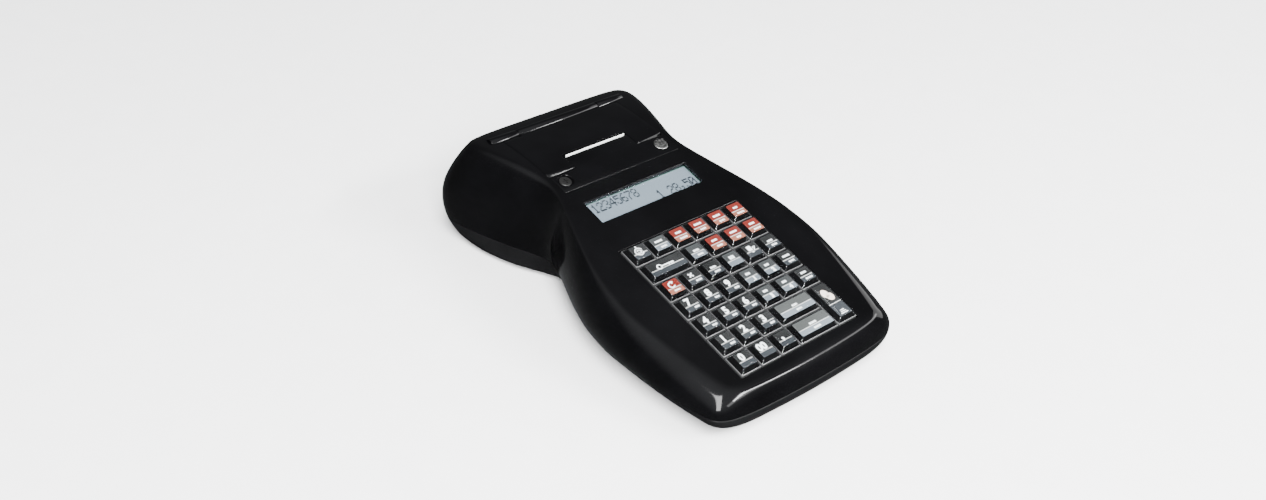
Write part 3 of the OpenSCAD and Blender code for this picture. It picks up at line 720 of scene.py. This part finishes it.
def panel_cutter():
    """Cuts the panel's and the lid's opening, with a round edge that follows the falling top."""
    half_x, front, rear = LID_X + FIT, PANEL_FRONT - FIT, HINGE_Y
    profile = [(0, -OPENING_DEPTH)] + edge_profile(OPENING_ROUND, 5)
    verts = []
    for out, dz in profile:
        ring = [(half_x + out, front - out + (rear - front + out) * t) for t in np.linspace(0, 1, 34)]
        ring += [(-x, y) for x, y in ring[::-1]]
        verts += [(x, y, float(top_z(y)) + dz) for x, y in ring]
    n, last = len(ring), len(profile) - 1
    faces = [f for k in range(last) for f in ring_faces(k * n, (k + 1) * n, n)]
    for start in (0, last * n):
        end = start + n - 1
        faces += [(start + i, start + i + 1, end - i - 1, end - i) for i in range(n // 2 - 1)]
    return face_outwards(as_object("cutter", verts, faces))


def plunger_holes():
    half = PLUNGER / 2 + 0.2
    cutters = [box_cutter((x - half, x + half), (y - half, y + half), (WELL_TOP - 3, WELL_TOP + 1))
               for _, x, y, *_ in key_places()]
    return join(cutters[0], cutters[1:])


def knuckle(x0, x1):
    ease = 0.35
    profile = [(x0, PIN_BORE), (x0, BARREL_R - ease), (x0 + 0.1, BARREL_R - 0.1), (x0 + ease, BARREL_R),
               (x1 - ease, BARREL_R), (x1 - 0.1, BARREL_R - 0.1), (x1, BARREL_R - ease), (x1, PIN_BORE)]
    return revolve("knuckle", profile, HINGE_Y, HINGE_Z)


def upper_bosses():
    """Posts that the base screws bite into, from the seam up into the skin."""
    posts = []
    for x, y in BASE_SCREWS:
        top = SEAM
        while upright(x, y, top)[2] < top_z(upright(x, y, top)[1]) - POST_COVER:
            top += 0.1
        post = round_stack("post", upright, x, y, [(SEAM + 0.1, POST_R), (top, POST_R)])
        boolean(post, [round_stack("cutter", upright, x, y, [(SEAM - 1, PILOT_R), (SEAM + 7, PILOT_R)])])
        posts.append(post)
    return posts


def port_cutter():
    """The hole that a charger's plug passes on its way to the power jack."""
    mounts = frame["record"]["mounts"]
    jack = [m for m in mounts if m["name"] == "power_jack_bore"][0]["pos_m"]
    x, y, h = jack[0] / MM, jack[1] / MM - ORIGIN.y, jack[2] / MM
    rings = [[upright(x + cx, y + reach, h + ch) for cx, ch in circle(PORT_R)]
             for reach in (PORT_START, PORT_END)]
    return face_outwards(loft("cutter", rings))


def make_upper_housing():
    shell = upper_shell()
    in_x, in_y = GRID_X + WELL_GAP, GRID_Y + WELL_GAP
    out_x, out_y = in_x + WELL_WALL, in_y + WELL_WALL
    well = box_cutter((-out_x, out_x), (-out_y, out_y), (WELL_TOP - WELL_FLOOR, -WALL / 2))
    boolean(shell, [well, box_cutter(LEDGE_X, LEDGE_Y, LEDGE_Z)], "UNION")
    gap_x, gap_r = KNUCKLE_X + KNUCKLE_GAP, BARREL_R + KNUCKLE_GAP
    boolean(shell, [
        flared(in_x, in_y, -WELL_TOP, 0.45, (0, 0, 0)),
        flared(WINDOW_W / 2 + FIT, WINDOW_L / 2 + FIT, 4, 0.35, (0, WINDOW_Y, 0)),
        panel_cutter(),
        box_cutter((-LID_X - FIT, LID_X + FIT), (SLOT_FRONT, HINGE_Y), (HINGE_Z - 1, -1.2)),
        box_cutter((-gap_x, gap_x), (HINGE_Y - gap_r, HINGE_Y + gap_r), (HINGE_Z - gap_r, 0)),
        plunger_holes(),
        port_cutter()])
    join(shell, [knuckle(-BARREL_X, -gap_x), knuckle(gap_x, BARREL_X), *upper_bosses()])
    finish_piece(shell, "terminal", [GLOSS_BLACK], ["upper_housing"])


def roll_ribs():
    """Three ribs across the base, cut to a cradle for the paper roll."""
    ribs = [loft("rib", [[upright(x + sx * RIB_HALF, RIB_Y[(sy + 1) // 2], h) for sx, sy in SQUARE]
                         for h in (FOOT_H + 1, RIB_TOP)]) for x in RIBS_X]
    ribs = join(ribs[0], ribs[1:])
    cradle = [(-30, 0.01), (-30, CRADLE_R), (30, CRADLE_R), (30, 0.01)]
    boolean(ribs, [revolve("cutter", cradle, ROLL_Y, ROLL_Z)])
    return ribs


def make_lower_housing():
    shell = lower_shell()
    boss = [(FOOT_H + 1, 4.6), (SEAM - 0.6, 4.6)]
    recess = [(-1, 3.1), (FOOT_H + 3.3, 3.1), (FOOT_H + 3.32, 1.65), (SEAM + 1, 1.65)]
    boolean(shell, [round_stack("boss", upright, x, y, boss) for x, y in BASE_SCREWS], "UNION")
    boolean(shell, [round_stack("cutter", upright, x, y, recess) for x, y in BASE_SCREWS])
    join(shell, [roll_ribs()])
    finish_piece(shell, "terminal", [SATIN_SHELL], ["lower_housing"])


def make_panel():
    """The cover between display and paper slot, with its tongue and two screw recesses."""
    half, tongue, tab = LID_X, TONGUE_X - FIT, TAB_FRONT - FIT
    panel = slab("slot_cover", steps(-half, -tongue, tongue, half),
                 steps((PANEL_FRONT, tab, 6), (tab, SLOT_FRONT, 5)),
                 lambda x, y: y < tab or abs(x) < tongue)
    bevel(panel, 0.3)
    recess = [(-1.3, 3.95), (-0.75, 3.95), (-0.5, 4.05), (-0.3, 4.3), (2, 4.3)]
    boolean(panel, [round_stack("cutter", on_deck, x, PANEL_SCREW_Y, recess)
                    for x in (-PANEL_SCREW_X, PANEL_SCREW_X)])
    finish_piece(panel, "terminal", [GLOSS_BLACK], ["slot_panel"])


def make_lid():
    """The paper lid with its two front tabs, finger scoops and hinge barrel."""
    half, notch, front, rear = LID_X, TONGUE_X + FIT, TAB_FRONT + FIT, LID_REAR

    def scoop(x, y):
        """Depth of the finger scoop along a tab's front edge, deeper towards the side."""
        wide = SCOOP_LEAST + SCOOP_MORE * max(0, (abs(x) - notch) / (half - notch))
        return SCOOP_SLOPE * max(0, wide - (y - front))

    def inside(x, y):
        if y < SLOT_REAR:
            return abs(x) > notch
        return y < rear or abs(x) < KNUCKLE_X

    xs = steps((-half, -notch, 6), -KNUCKLE_X, KNUCKLE_X, (notch, half, 6))
    ys = steps((front, front + 2, 8), (front + 2, SLOT_REAR, 5), (SLOT_REAR, rear, 14), (rear, HINGE_Y, 3))
    lid = slab("lid_cover", xs, ys, inside, scoop)
    # Beside the barrel, the upper rear edge leans back to the housing
    for v in lid.data.vertices:
        if abs(v.co.y - rear) < 0.01 and abs(v.co.x) > KNUCKLE_X + 0.01 and v.co.z > top_z(rear) - 0.5:
            v.co.y = rear + LID_LIP
            v.co.z = float(top_z(rear + LID_LIP))
    bevel(lid, 0.25)
    join(lid, [knuckle(-KNUCKLE_X, KNUCKLE_X)])
    finish_piece(lid, "lid", [GLOSS_BLACK], ["paper_lid"])


# ---- Keys ----

# The rows from the rear, with each key's name, label colour and marks from the left
KEY_ROWS = [
    ["mode dark dial", "tariff grey words 5 4", "fare_1 red words 4 5", "fare_2 red words 5 4",
     "fare_3 red words 5 4", "fare_4 red words 3 5"],
    ["lock dark key", "shift grey words 4", "fare_5 red words 4 4", "fare_6 red words 5 3",
     "fare_7 red words 4 5"],
    ["clear red back", "multiply dark times", "discount dark words 4", "lookup grey tall",
     "feed dark feed", "report dark words 4"],
    ["7 dark 7", "8 dark 8", "9 dark 9", "zone_1 grey word 1", "zone_2 grey word 2",
     "card dark words 5 4"],
    ["4 dark 4", "5 dark 5", "6 dark 6", "zone_3 grey word 3", "zone_4 grey word 4",
     "cheque dark words 4 5"],
    ["1 dark 1", "2 dark 2", "3 dark 3", "subtotal light words 4", "cash dark coins"],
    ["0 dark 0", "00 dark 00", "point dark ,", "total light words 5"]]
# The keys that take more than one place, as columns and rows
LARGE_KEYS = {"lock": (2, 1), "subtotal": (2, 1), "total": (2, 1), "cash": (1, 2)}
KEY_GAP, KEY_RISE, KEY_LEAN, SKIRT = 0.4, 3.2, 1.8, -2.2
PLUNGER_END = -6.7
# The cap's round edge, corners and dish, and the rings of its skirt and rim that aren't clear and take the rim's
# painted highlight colour
CAP_ROUND, CAP_CORNER, CAP_DISH, RIM_RINGS = 0.32, 0.95, 0.28, 4
# Places of the prints, and of the painted highlight line, in an insert's list of materials
WHITE, CREAM, HIGHLIGHT_LINE = 2, 3, 4
LETTER_WIDTHS, LETTER_GAP, DIGIT_BOLD = (1.0, 0.7, 0.9, 0.6, 1.0), 0.24, 0.24


def key_places():
    """Name, middle, half sizes, label colour and marks of every key."""
    for row, keys in enumerate(KEY_ROWS):
        col = 0
        for name, tone, marks in (key.split(" ", 2) for key in keys):
            cols, rows = LARGE_KEYS.get(name, (1, 1))
            x = -GRID_X + (col + cols / 2) * PITCH_X
            y = GRID_Y - (row + rows / 2) * PITCH_Y
            half_x, half_y = (cols * PITCH_X - KEY_GAP) / 2, (rows * PITCH_Y - KEY_GAP) / 2
            yield "key_" + name, x, y, half_x, half_y, "key_" + tone, marks
            col += cols


def outlines(polygons, z, x=0, y=0):
    """The points and faces of flat marks, from lists of points about x, y."""
    verts, faces = [], []
    for polygon in polygons:
        faces.append(range(len(verts), len(verts) + len(polygon)))
        verts += [(px + x, py + y, z) for px, py in polygon]
    return verts, faces


def bar(x, y, w, h):
    return [(x + sx * w / 2, y + sy * h / 2) for sx, sy in SQUARE]


def line(a, b, width):
    a, b = Vector(a), Vector(b)
    side = (b - a).normalized().orthogonal() * width / 2
    return [tuple(a - side), tuple(b - side), tuple(b + side), tuple(a + side)]


def arc(x, y, r, width, start, end, count=20):
    """Quads along an arc, with angles in degrees."""
    out = []
    for k in range(count):
        a, b = (math.radians(start + (end - start) * (k + j) / count) for j in (0, 1))
        inner, outer = r - width / 2, r + width / 2
        out.append([(x + reach * math.cos(t), y + reach * math.sin(t))
                    for reach, t in ((inner, a), (outer, a), (outer, b), (inner, b))])
    return out


def oval(x, y, half_x, half_y):
    return [(x + half_x * cx, y + half_y * cy) for cx, cy in circle(1, 24)]


def word(x, y, letters, h, unit=0.8):
    """A plain row of blocks that stands for a printed word."""
    widths = [LETTER_WIDTHS[k % len(LETTER_WIDTHS)] * unit for k in range(letters)]
    left = x - (sum(widths) + (letters - 1) * LETTER_GAP) / 2
    out = []
    for w in widths:
        out.append(bar(left + w / 2, y, w, h))
        left += w + LETTER_GAP
    return out


def digits(text, size, x, y, z):
    """Digits as a flat mesh with their middle at x, y."""
    curve = bpy.data.curves.new("digits", "FONT")
    curve.body = text
    curve.size = size
    curve.resolution_u = 4
    curve.bevel_depth = DIGIT_BOLD
    curve.bevel_resolution = 0
    curve.align_x = "CENTER"
    curve.align_y = "CENTER"
    obj = add_object("digits", curve)
    bpy.context.view_layer.update()
    mesh = bpy.data.meshes.new_from_object(obj.evaluated_get(bpy.context.evaluated_depsgraph_get()))
    bpy.data.objects.remove(obj)
    mesh.transform(Matrix.Translation((x, y, z)))
    return mesh


def key_marks(marks, half_x, half_y):
    """A grey line that is a painted highlight, white and cream polygons, and digits as (text, size, x, y), for one
    key's label.
    """
    white, cream, text = [], [], None
    front = -half_y + 1.45
    # The thin grey bar across every label is a painted highlight line
    grey = [bar(0, -0.22 * half_y, 1.9 * half_x, 0.34)]
    if marks == ",":
        text = (marks, 7, -0.7, 2.0)
    elif marks.isdigit():
        text = (marks, 5.4, -0.7, 1.35)
        if marks.strip("0"):
            white = word(1.7, front, 3, 1.0)
    elif marks.startswith("words"):
        sizes = [int(s) for s in marks.split()[1:]]
        white = word(0, 1.3 if len(sizes) > 1 else 0.4, sizes[0], 1.1)
        white += word(0.5, front, sizes[-1], 1.0)
    elif marks.startswith("word "):
        white = word(-0.4, 1.4, 3, 1.25)
        text = (marks[5:], 3.2, 0.9, front + 0.1)
    elif marks == "tall":
        white = word(0, 0.9, 3, 2.0, 0.95)
    elif marks == "times":
        white = [line((-1.8, 0.4), (0.4, 2.6), 0.6), line((-1.8, 2.6), (0.4, 0.4), 0.6)]
        white += word(1.2, front, 4, 1.0)
    elif marks == "back":
        white = arc(-0.3, 1.1, 1.5, 0.62, 60, 330) + [[(-0.2, 3.3), (1.5, 2.7), (0.3, 1.4)]]
        white += word(0.4, front, 4, 0.9)
    elif marks == "dial":
        white = arc(-0.1, 0.2, 2.1, 0.42, 20, 340, 28) + arc(-0.1, 0.2, 1.0, 0.42, -160, 160, 20)
        white += [bar(-0.1, 3.2, 0.5, 1.1), bar(1.0, 0.2, 1.4, 0.4)]
    elif marks == "key":
        white = arc(-4.2, 0.3, 1.25, 0.6, 0, 360, 24) + [line((-3.0, 0.3), (4.4, 0.3), 0.62)]
        white += [bar(1.4, -0.35, 0.6, 1.2), bar(2.9, -0.35, 0.6, 1.4), bar(3.9, -0.2, 0.5, 0.9)]
    elif marks == "feed":
        white = [bar(-0.6, 1.2, 2.5, 3.0), bar(-0.1, -1.4, 1.2, 0.5), line((1.2, -0.6), (2.9, 1.5), 0.5),
                 line((1.1, 0.6), (1.9, 1.6), 0.4)]
    elif marks == "coins":
        white = [bar(0, -half_y + 1.2 + 0.95 * k, 4.4 - k, 0.42) for k in range(3)]
        cream = [oval(-0.5, 4.2, 2.0, 2.6), oval(0.9, 1.9, 2.1, 2.3)]
    return grey, white, cream, text


def cap_rings(half_x, half_y):
    """The clear cap: a skirt, a rim, sloping sides, a round edge and a dished top."""
    def ring(shrink, radius, z):
        return rounded(half_x - shrink, half_y - shrink, radius, z)

    rim = ((0, 0.35, SKIRT), (0, 0.35, -0.05), (0.04, 0.35, 0.06), (0.42, 0.4, 0.16), (0.5, 0.4, 0.24))
    rings = [ring(*level) for level in rim]
    for a in np.radians(np.linspace(20, 90, 5)):
        in_by = CAP_ROUND * (1 - math.cos(a))
        rings.append(ring(KEY_LEAN - 0.02 + in_by, CAP_CORNER, KEY_RISE - CAP_ROUND * (1 - math.sin(a))))
    top_x, top_y = half_x - KEY_LEAN - 0.3, half_y - KEY_LEAN - 0.3
    for share in (0.92, 0.78, 0.6, 0.4, 0.2):
        sink = CAP_DISH * (1 - share ** 2)
        rings.append(rounded(top_x * share, top_y * share, CAP_CORNER * share, KEY_RISE - sink))
    return rings


def make_cap(name, x, y, half_x, half_y):
    rings = cap_rings(half_x, half_y)
    cap = loft("clear_" + name, rings, (x, y, 0))
    # The skirt and rim take the lighter grey that paints a highlight on the clear flange
    for face in cap.data.polygons[:RIM_RINGS * len(rings[0])]:
        face.material_index = 1
    finish_piece(cap, name + "_cap", [CAP_CLEAR, CAP_RIM_HIGHLIGHT], [name], sharp=40)


def add_marks(mesh, layers):
    """Adds flat meshes to a label, each with its own material, all facing up."""
    build = bmesh.new()
    build.from_mesh(mesh)
    for part, material_index in layers:
        before = len(build.faces)
        build.from_mesh(part)
        build.faces.ensure_lookup_table()
        for face in build.faces[before:]:
            face.material_index = material_index
            if face.normal.z < 0:
                face.normal_flip()
    build.to_mesh(mesh)
    build.free()


def make_insert(name, x, y, half_x, half_y, tone, marks):
    """The printed insert under the cap, with its plunger, its marks and its painted highlights."""
    label_x, label_y = half_x - KEY_LEAN - 0.22, half_y - KEY_LEAN - 0.22
    label_z, mark_z = KEY_RISE - 0.62, KEY_RISE - 0.59
    core_x, core_y = half_x - 0.75, half_y - 0.75
    core = [rounded(core_x, core_y, 0.5, SKIRT + 0.1), rounded(core_x, core_y, 0.5, -0.1),
            rounded(label_x + 0.05, label_y + 0.05, 0.7, label_z - 0.25),
            rounded(label_x, label_y, 0.7, label_z)]
    insert = loft("insert_" + name, core, (x, y, 0))
    mesh = insert.data
    half = PLUNGER / 2
    plunger = [rounded(half, half, 0.4, h) for h in (PLUNGER_END, SKIRT + 0.3)]
    join(insert, [loft("plunger", plunger, (x, y, 0))])
    max(mesh.polygons, key=lambda f: f.center.z).material_index = 1
    uv = mesh.uv_layers.new(name="label")
    for loop in mesh.loops:
        at = mesh.vertices[loop.vertex_index].co
        uv.data[loop.index].uv = (0.5 + (at.x - x) / (2 * label_x), 0.5 + (at.y - y) / (2 * label_y))
    grey, white, cream, text = key_marks(marks, label_x, label_y)
    flats = ((grey, mark_z - 0.01, HIGHLIGHT_LINE), (white, mark_z, WHITE), (cream, mark_z, CREAM))
    layers = [(as_mesh("marks", *outlines(shapes, z, x, y)), index) for shapes, z, index in flats]
    if text:
        layers.append((digits(text[0], text[1], x + text[2], y + text[3], mark_z), WHITE))
    add_marks(mesh, layers)
    finish_piece(insert, name + "_cap", [CARRIER, LABELS[tone], MARK, MARK_CREAM, MARK_HIGHLIGHT_LINE])


# ---- Display ----

# Rows of a five by seven dot character, from top to bottom
DOTS = {
    "0": "01110 10001 10011 10101 11001 10001 01110", "1": "00100 01100 00100 00100 00100 00100 01110",
    "2": "01110 10001 00001 00110 01000 10000 11111", "3": "01110 10001 00001 00110 00001 10001 01110",
    "4": "00010 00110 01010 10010 11111 00010 00010", "5": "11111 10000 11110 00001 00001 10001 01110",
    "6": "00110 01000 10000 11110 10001 10001 01110", "7": "11111 00001 00010 00100 01000 01000 01000",
    "8": "01110 10001 10001 01110 10001 10001 01110", ",": "00000 00000 00000 00000 01100 00100 01000",
    " ": ""}
LCD_LINES = ["12345678        ", "         1 28,50"]
LCD_SHIFT = (-1.6, 2.6)
LCD_PITCH_X, LCD_PITCH_Y = 3.62, 6.5
DOT_X, DOT_Y = 0.66, 0.87
LCD_Z, LCD_THICK, LCD_GAP = -2.32, 0.06, 0.1


def lcd_dots():
    """The dots that are on, as squares."""
    dots = []
    for row, text in enumerate(LCD_LINES):
        for col, char in enumerate(text):
            left = (col - 7.5) * LCD_PITCH_X + LCD_SHIFT[row]
            middle = WINDOW_Y + (0.5 - row) * LCD_PITCH_Y
            for j, bits in enumerate(DOTS[char].split()):
                dots += [bar(left + (i - 2) * DOT_X, middle + (3 - j) * DOT_Y, DOT_X, DOT_Y)
                         for i, bit in enumerate(bits) if bit == "1"]
    return dots


def make_display():
    centre = (0, WINDOW_Y, 0)
    half_x, half_y = WINDOW_W / 2, WINDOW_L / 2
    panel = loft("lcd_glass", [rounded(half_x - LCD_GAP, half_y - LCD_GAP, 0.4, h)
                               for h in (LCD_Z - LCD_THICK, LCD_Z)], centre)
    finish_piece(panel, "terminal", [LCD_FACE])
    dots = as_object("lcd_dots", *outlines(lcd_dots(), LCD_Z + 0.02))
    finish_piece(dots, "terminal", [LCD_DOT], smooth=False)
    lens = loft("display_lens", [rounded(half_x, half_y, 0.45, -WALL), rounded(half_x, half_y, 0.45, -0.5),
                                 rounded(half_x - 0.1, half_y - 0.1, 0.4, -0.4)], centre)
    finish_piece(lens, "terminal", [WINDOW_CLEAR], ["display_window"])


# ---- Screws, paper and feet ----

# Profiles as (height, radius) pairs: two on the deck's axes and the others on the table's
SEAL = [(-5.4, 1.05), (-1.3, 1.05), (-1.25, 3.7), (-0.75, 3.85), (-0.45, 3.7), (-0.3, 3.3),
        (-0.42, 2.6), (-0.3, 1.6), (-0.22, 0.6)]
PANEL_SCREW = [(-5.4, 1.05), (-1.3, 1.05), (-1.28, 3.0), (-0.9, 3.15), (-0.65, 2.9), (-0.6, 2.4)]
HEAD_H, CROSS_HALF = FOOT_H + 1.5, 0.3
BASE_SCREW = [(HEAD_H, 2.3), (HEAD_H + 0.15, 2.65), (HEAD_H + 0.5, 2.8), (HEAD_H + 1.8, 2.8),
              (HEAD_H + 1.82, 1.2), (HEAD_H + 13.2, 1.2), (HEAD_H + 13.8, 0.6)]
FOOT = [(0.4, 3.2), (0, 3.6), (0, 5.0), (0.12, 5.5), (0.45, 5.85), (1.0, 6.0), (FOOT_H, 6.0)]
FEET = [(-38, -38), (38, -38), (-42, 144), (42, 144)]
# The paper strip, its torn edge, and how far its end curls over which length
STRIP_HALF, STRIP_Y, STRIP_THICK, STRIP_OUT = 19.0, 108.55, 0.2, 0.6
TEETH, TOOTH = 38, 0.25
CURL, CURL_START = 0.3, 3


def cross_recess(screw, place, x, y, reach, heights):
    slots = []
    for half_x, half_y in ((reach, CROSS_HALF), (CROSS_HALF, reach)):
        slots.append(loft("cutter", [[place(x + sx * half_x, y + sy * half_y, h) for sx, sy in SQUARE]
                                     for h in heights]))
    boolean(screw, slots)


def make_screws():
    seal = round_stack("seal_plug", on_deck, PANEL_SCREW_X, PANEL_SCREW_Y, SEAL)
    finish_piece(seal, "terminal", [SEAL_METAL], ["seal_screw"], sharp=70)
    screws = round_stack("cross_head_screws", on_deck, -PANEL_SCREW_X, PANEL_SCREW_Y, PANEL_SCREW)
    cross_recess(screws, on_deck, -PANEL_SCREW_X, PANEL_SCREW_Y, 1.7, (-1.1, 0))
    for x, y in BASE_SCREWS:
        screw = round_stack("screw", upright, x, y, BASE_SCREW)
        cross_recess(screw, upright, x, y, 1.5, (HEAD_H - 1, HEAD_H + 0.9))
        join(screws, [screw])
    finish_piece(screws, "terminal", [BLACK_OXIDE], ["housing_screws"], sharp=30)


def make_paper():
    """The strip from the roll up through the slot, curling back a little to its torn edge."""
    xs = np.linspace(-STRIP_HALF, STRIP_HALF, 2 * TEETH + 1)
    top = float(top_z(STRIP_Y)) + STRIP_OUT
    levels = [[h] * len(xs) for h in np.linspace(ROLL_Z, top - TOOTH, 14)]
    levels.append([top - TOOTH * (k % 2) for k in range(len(xs))])
    verts = []
    for back in (0, STRIP_THICK):
        for level in levels:
            for x, h in zip(xs, level):
                curl = CURL * max(0, (h - top + CURL_START) / CURL_START) ** 2
                verts.append((x, STRIP_Y + back + curl, h))
    n, rows = len(xs), len(levels)
    side = rows * n
    faces = []
    for a in (j * n + i for j in range(rows - 1) for i in range(n - 1)):
        faces.append((a, a + 1, a + n + 1, a + n))
        faces.append((side + a + n, side + a + n + 1, side + a + 1, side + a))
    edge = [j * n for j in range(rows)] + [(rows - 1) * n + i for i in range(1, n)]
    edge += [j * n + n - 1 for j in range(rows - 2, -1, -1)] + list(range(n - 2, 0, -1))
    faces += [(a, b, side + b, side + a) for a, b in zip(edge, edge[1:] + edge[:1])]
    strip = face_outwards(as_object("receipt_strip", verts, faces))
    finish_piece(strip, "terminal", [PAPER], ["paper_web"], sharp=50)


def make_feet():
    pads = [round_stack("rubber_feet", upright, x, y, FOOT) for x, y in FEET]
    feet = join(pads[0], pads[1:])
    finish_piece(feet, "terminal", [FOOT_RUBBER], ["feet"])


# ---- Kept CAD nodes ----

KEPT = {
    "hinge_pin": STEEL, "lcd_module": BOARD, "main_board": BOARD, "key_mat": SILICONE,
    "printer_frame": STEEL, "thermal_head": CERAMIC, "platen_roller": PLATEN_RUBBER,
    "platen_gear": GEAR_PLASTIC, "stepper_motor": STEEL, "motor_pinion": BRASS,
    "paper_roll": PAPER, "battery_pack": SLEEVE, "power_jack": JACK_PLASTIC}


def dress_kept_nodes():
    for name, mat in KEPT.items():
        node = frame["nodes"][name]
        node.data.materials.clear()
        node.data.materials.append(mat)


add_camera()
add_world()
for softbox in SOFTBOXES:
    add_light(*softbox)
add_floor()
make_upper_housing()
make_lower_housing()
make_panel()
make_lid()
for name, x, y, half_x, half_y, tone, marks in key_places():
    make_cap(name, x, y, half_x, half_y)
    make_insert(name, x, y, half_x, half_y, tone, marks)
make_display()
make_screws()
make_paper()
make_feet()
dress_kept_nodes()
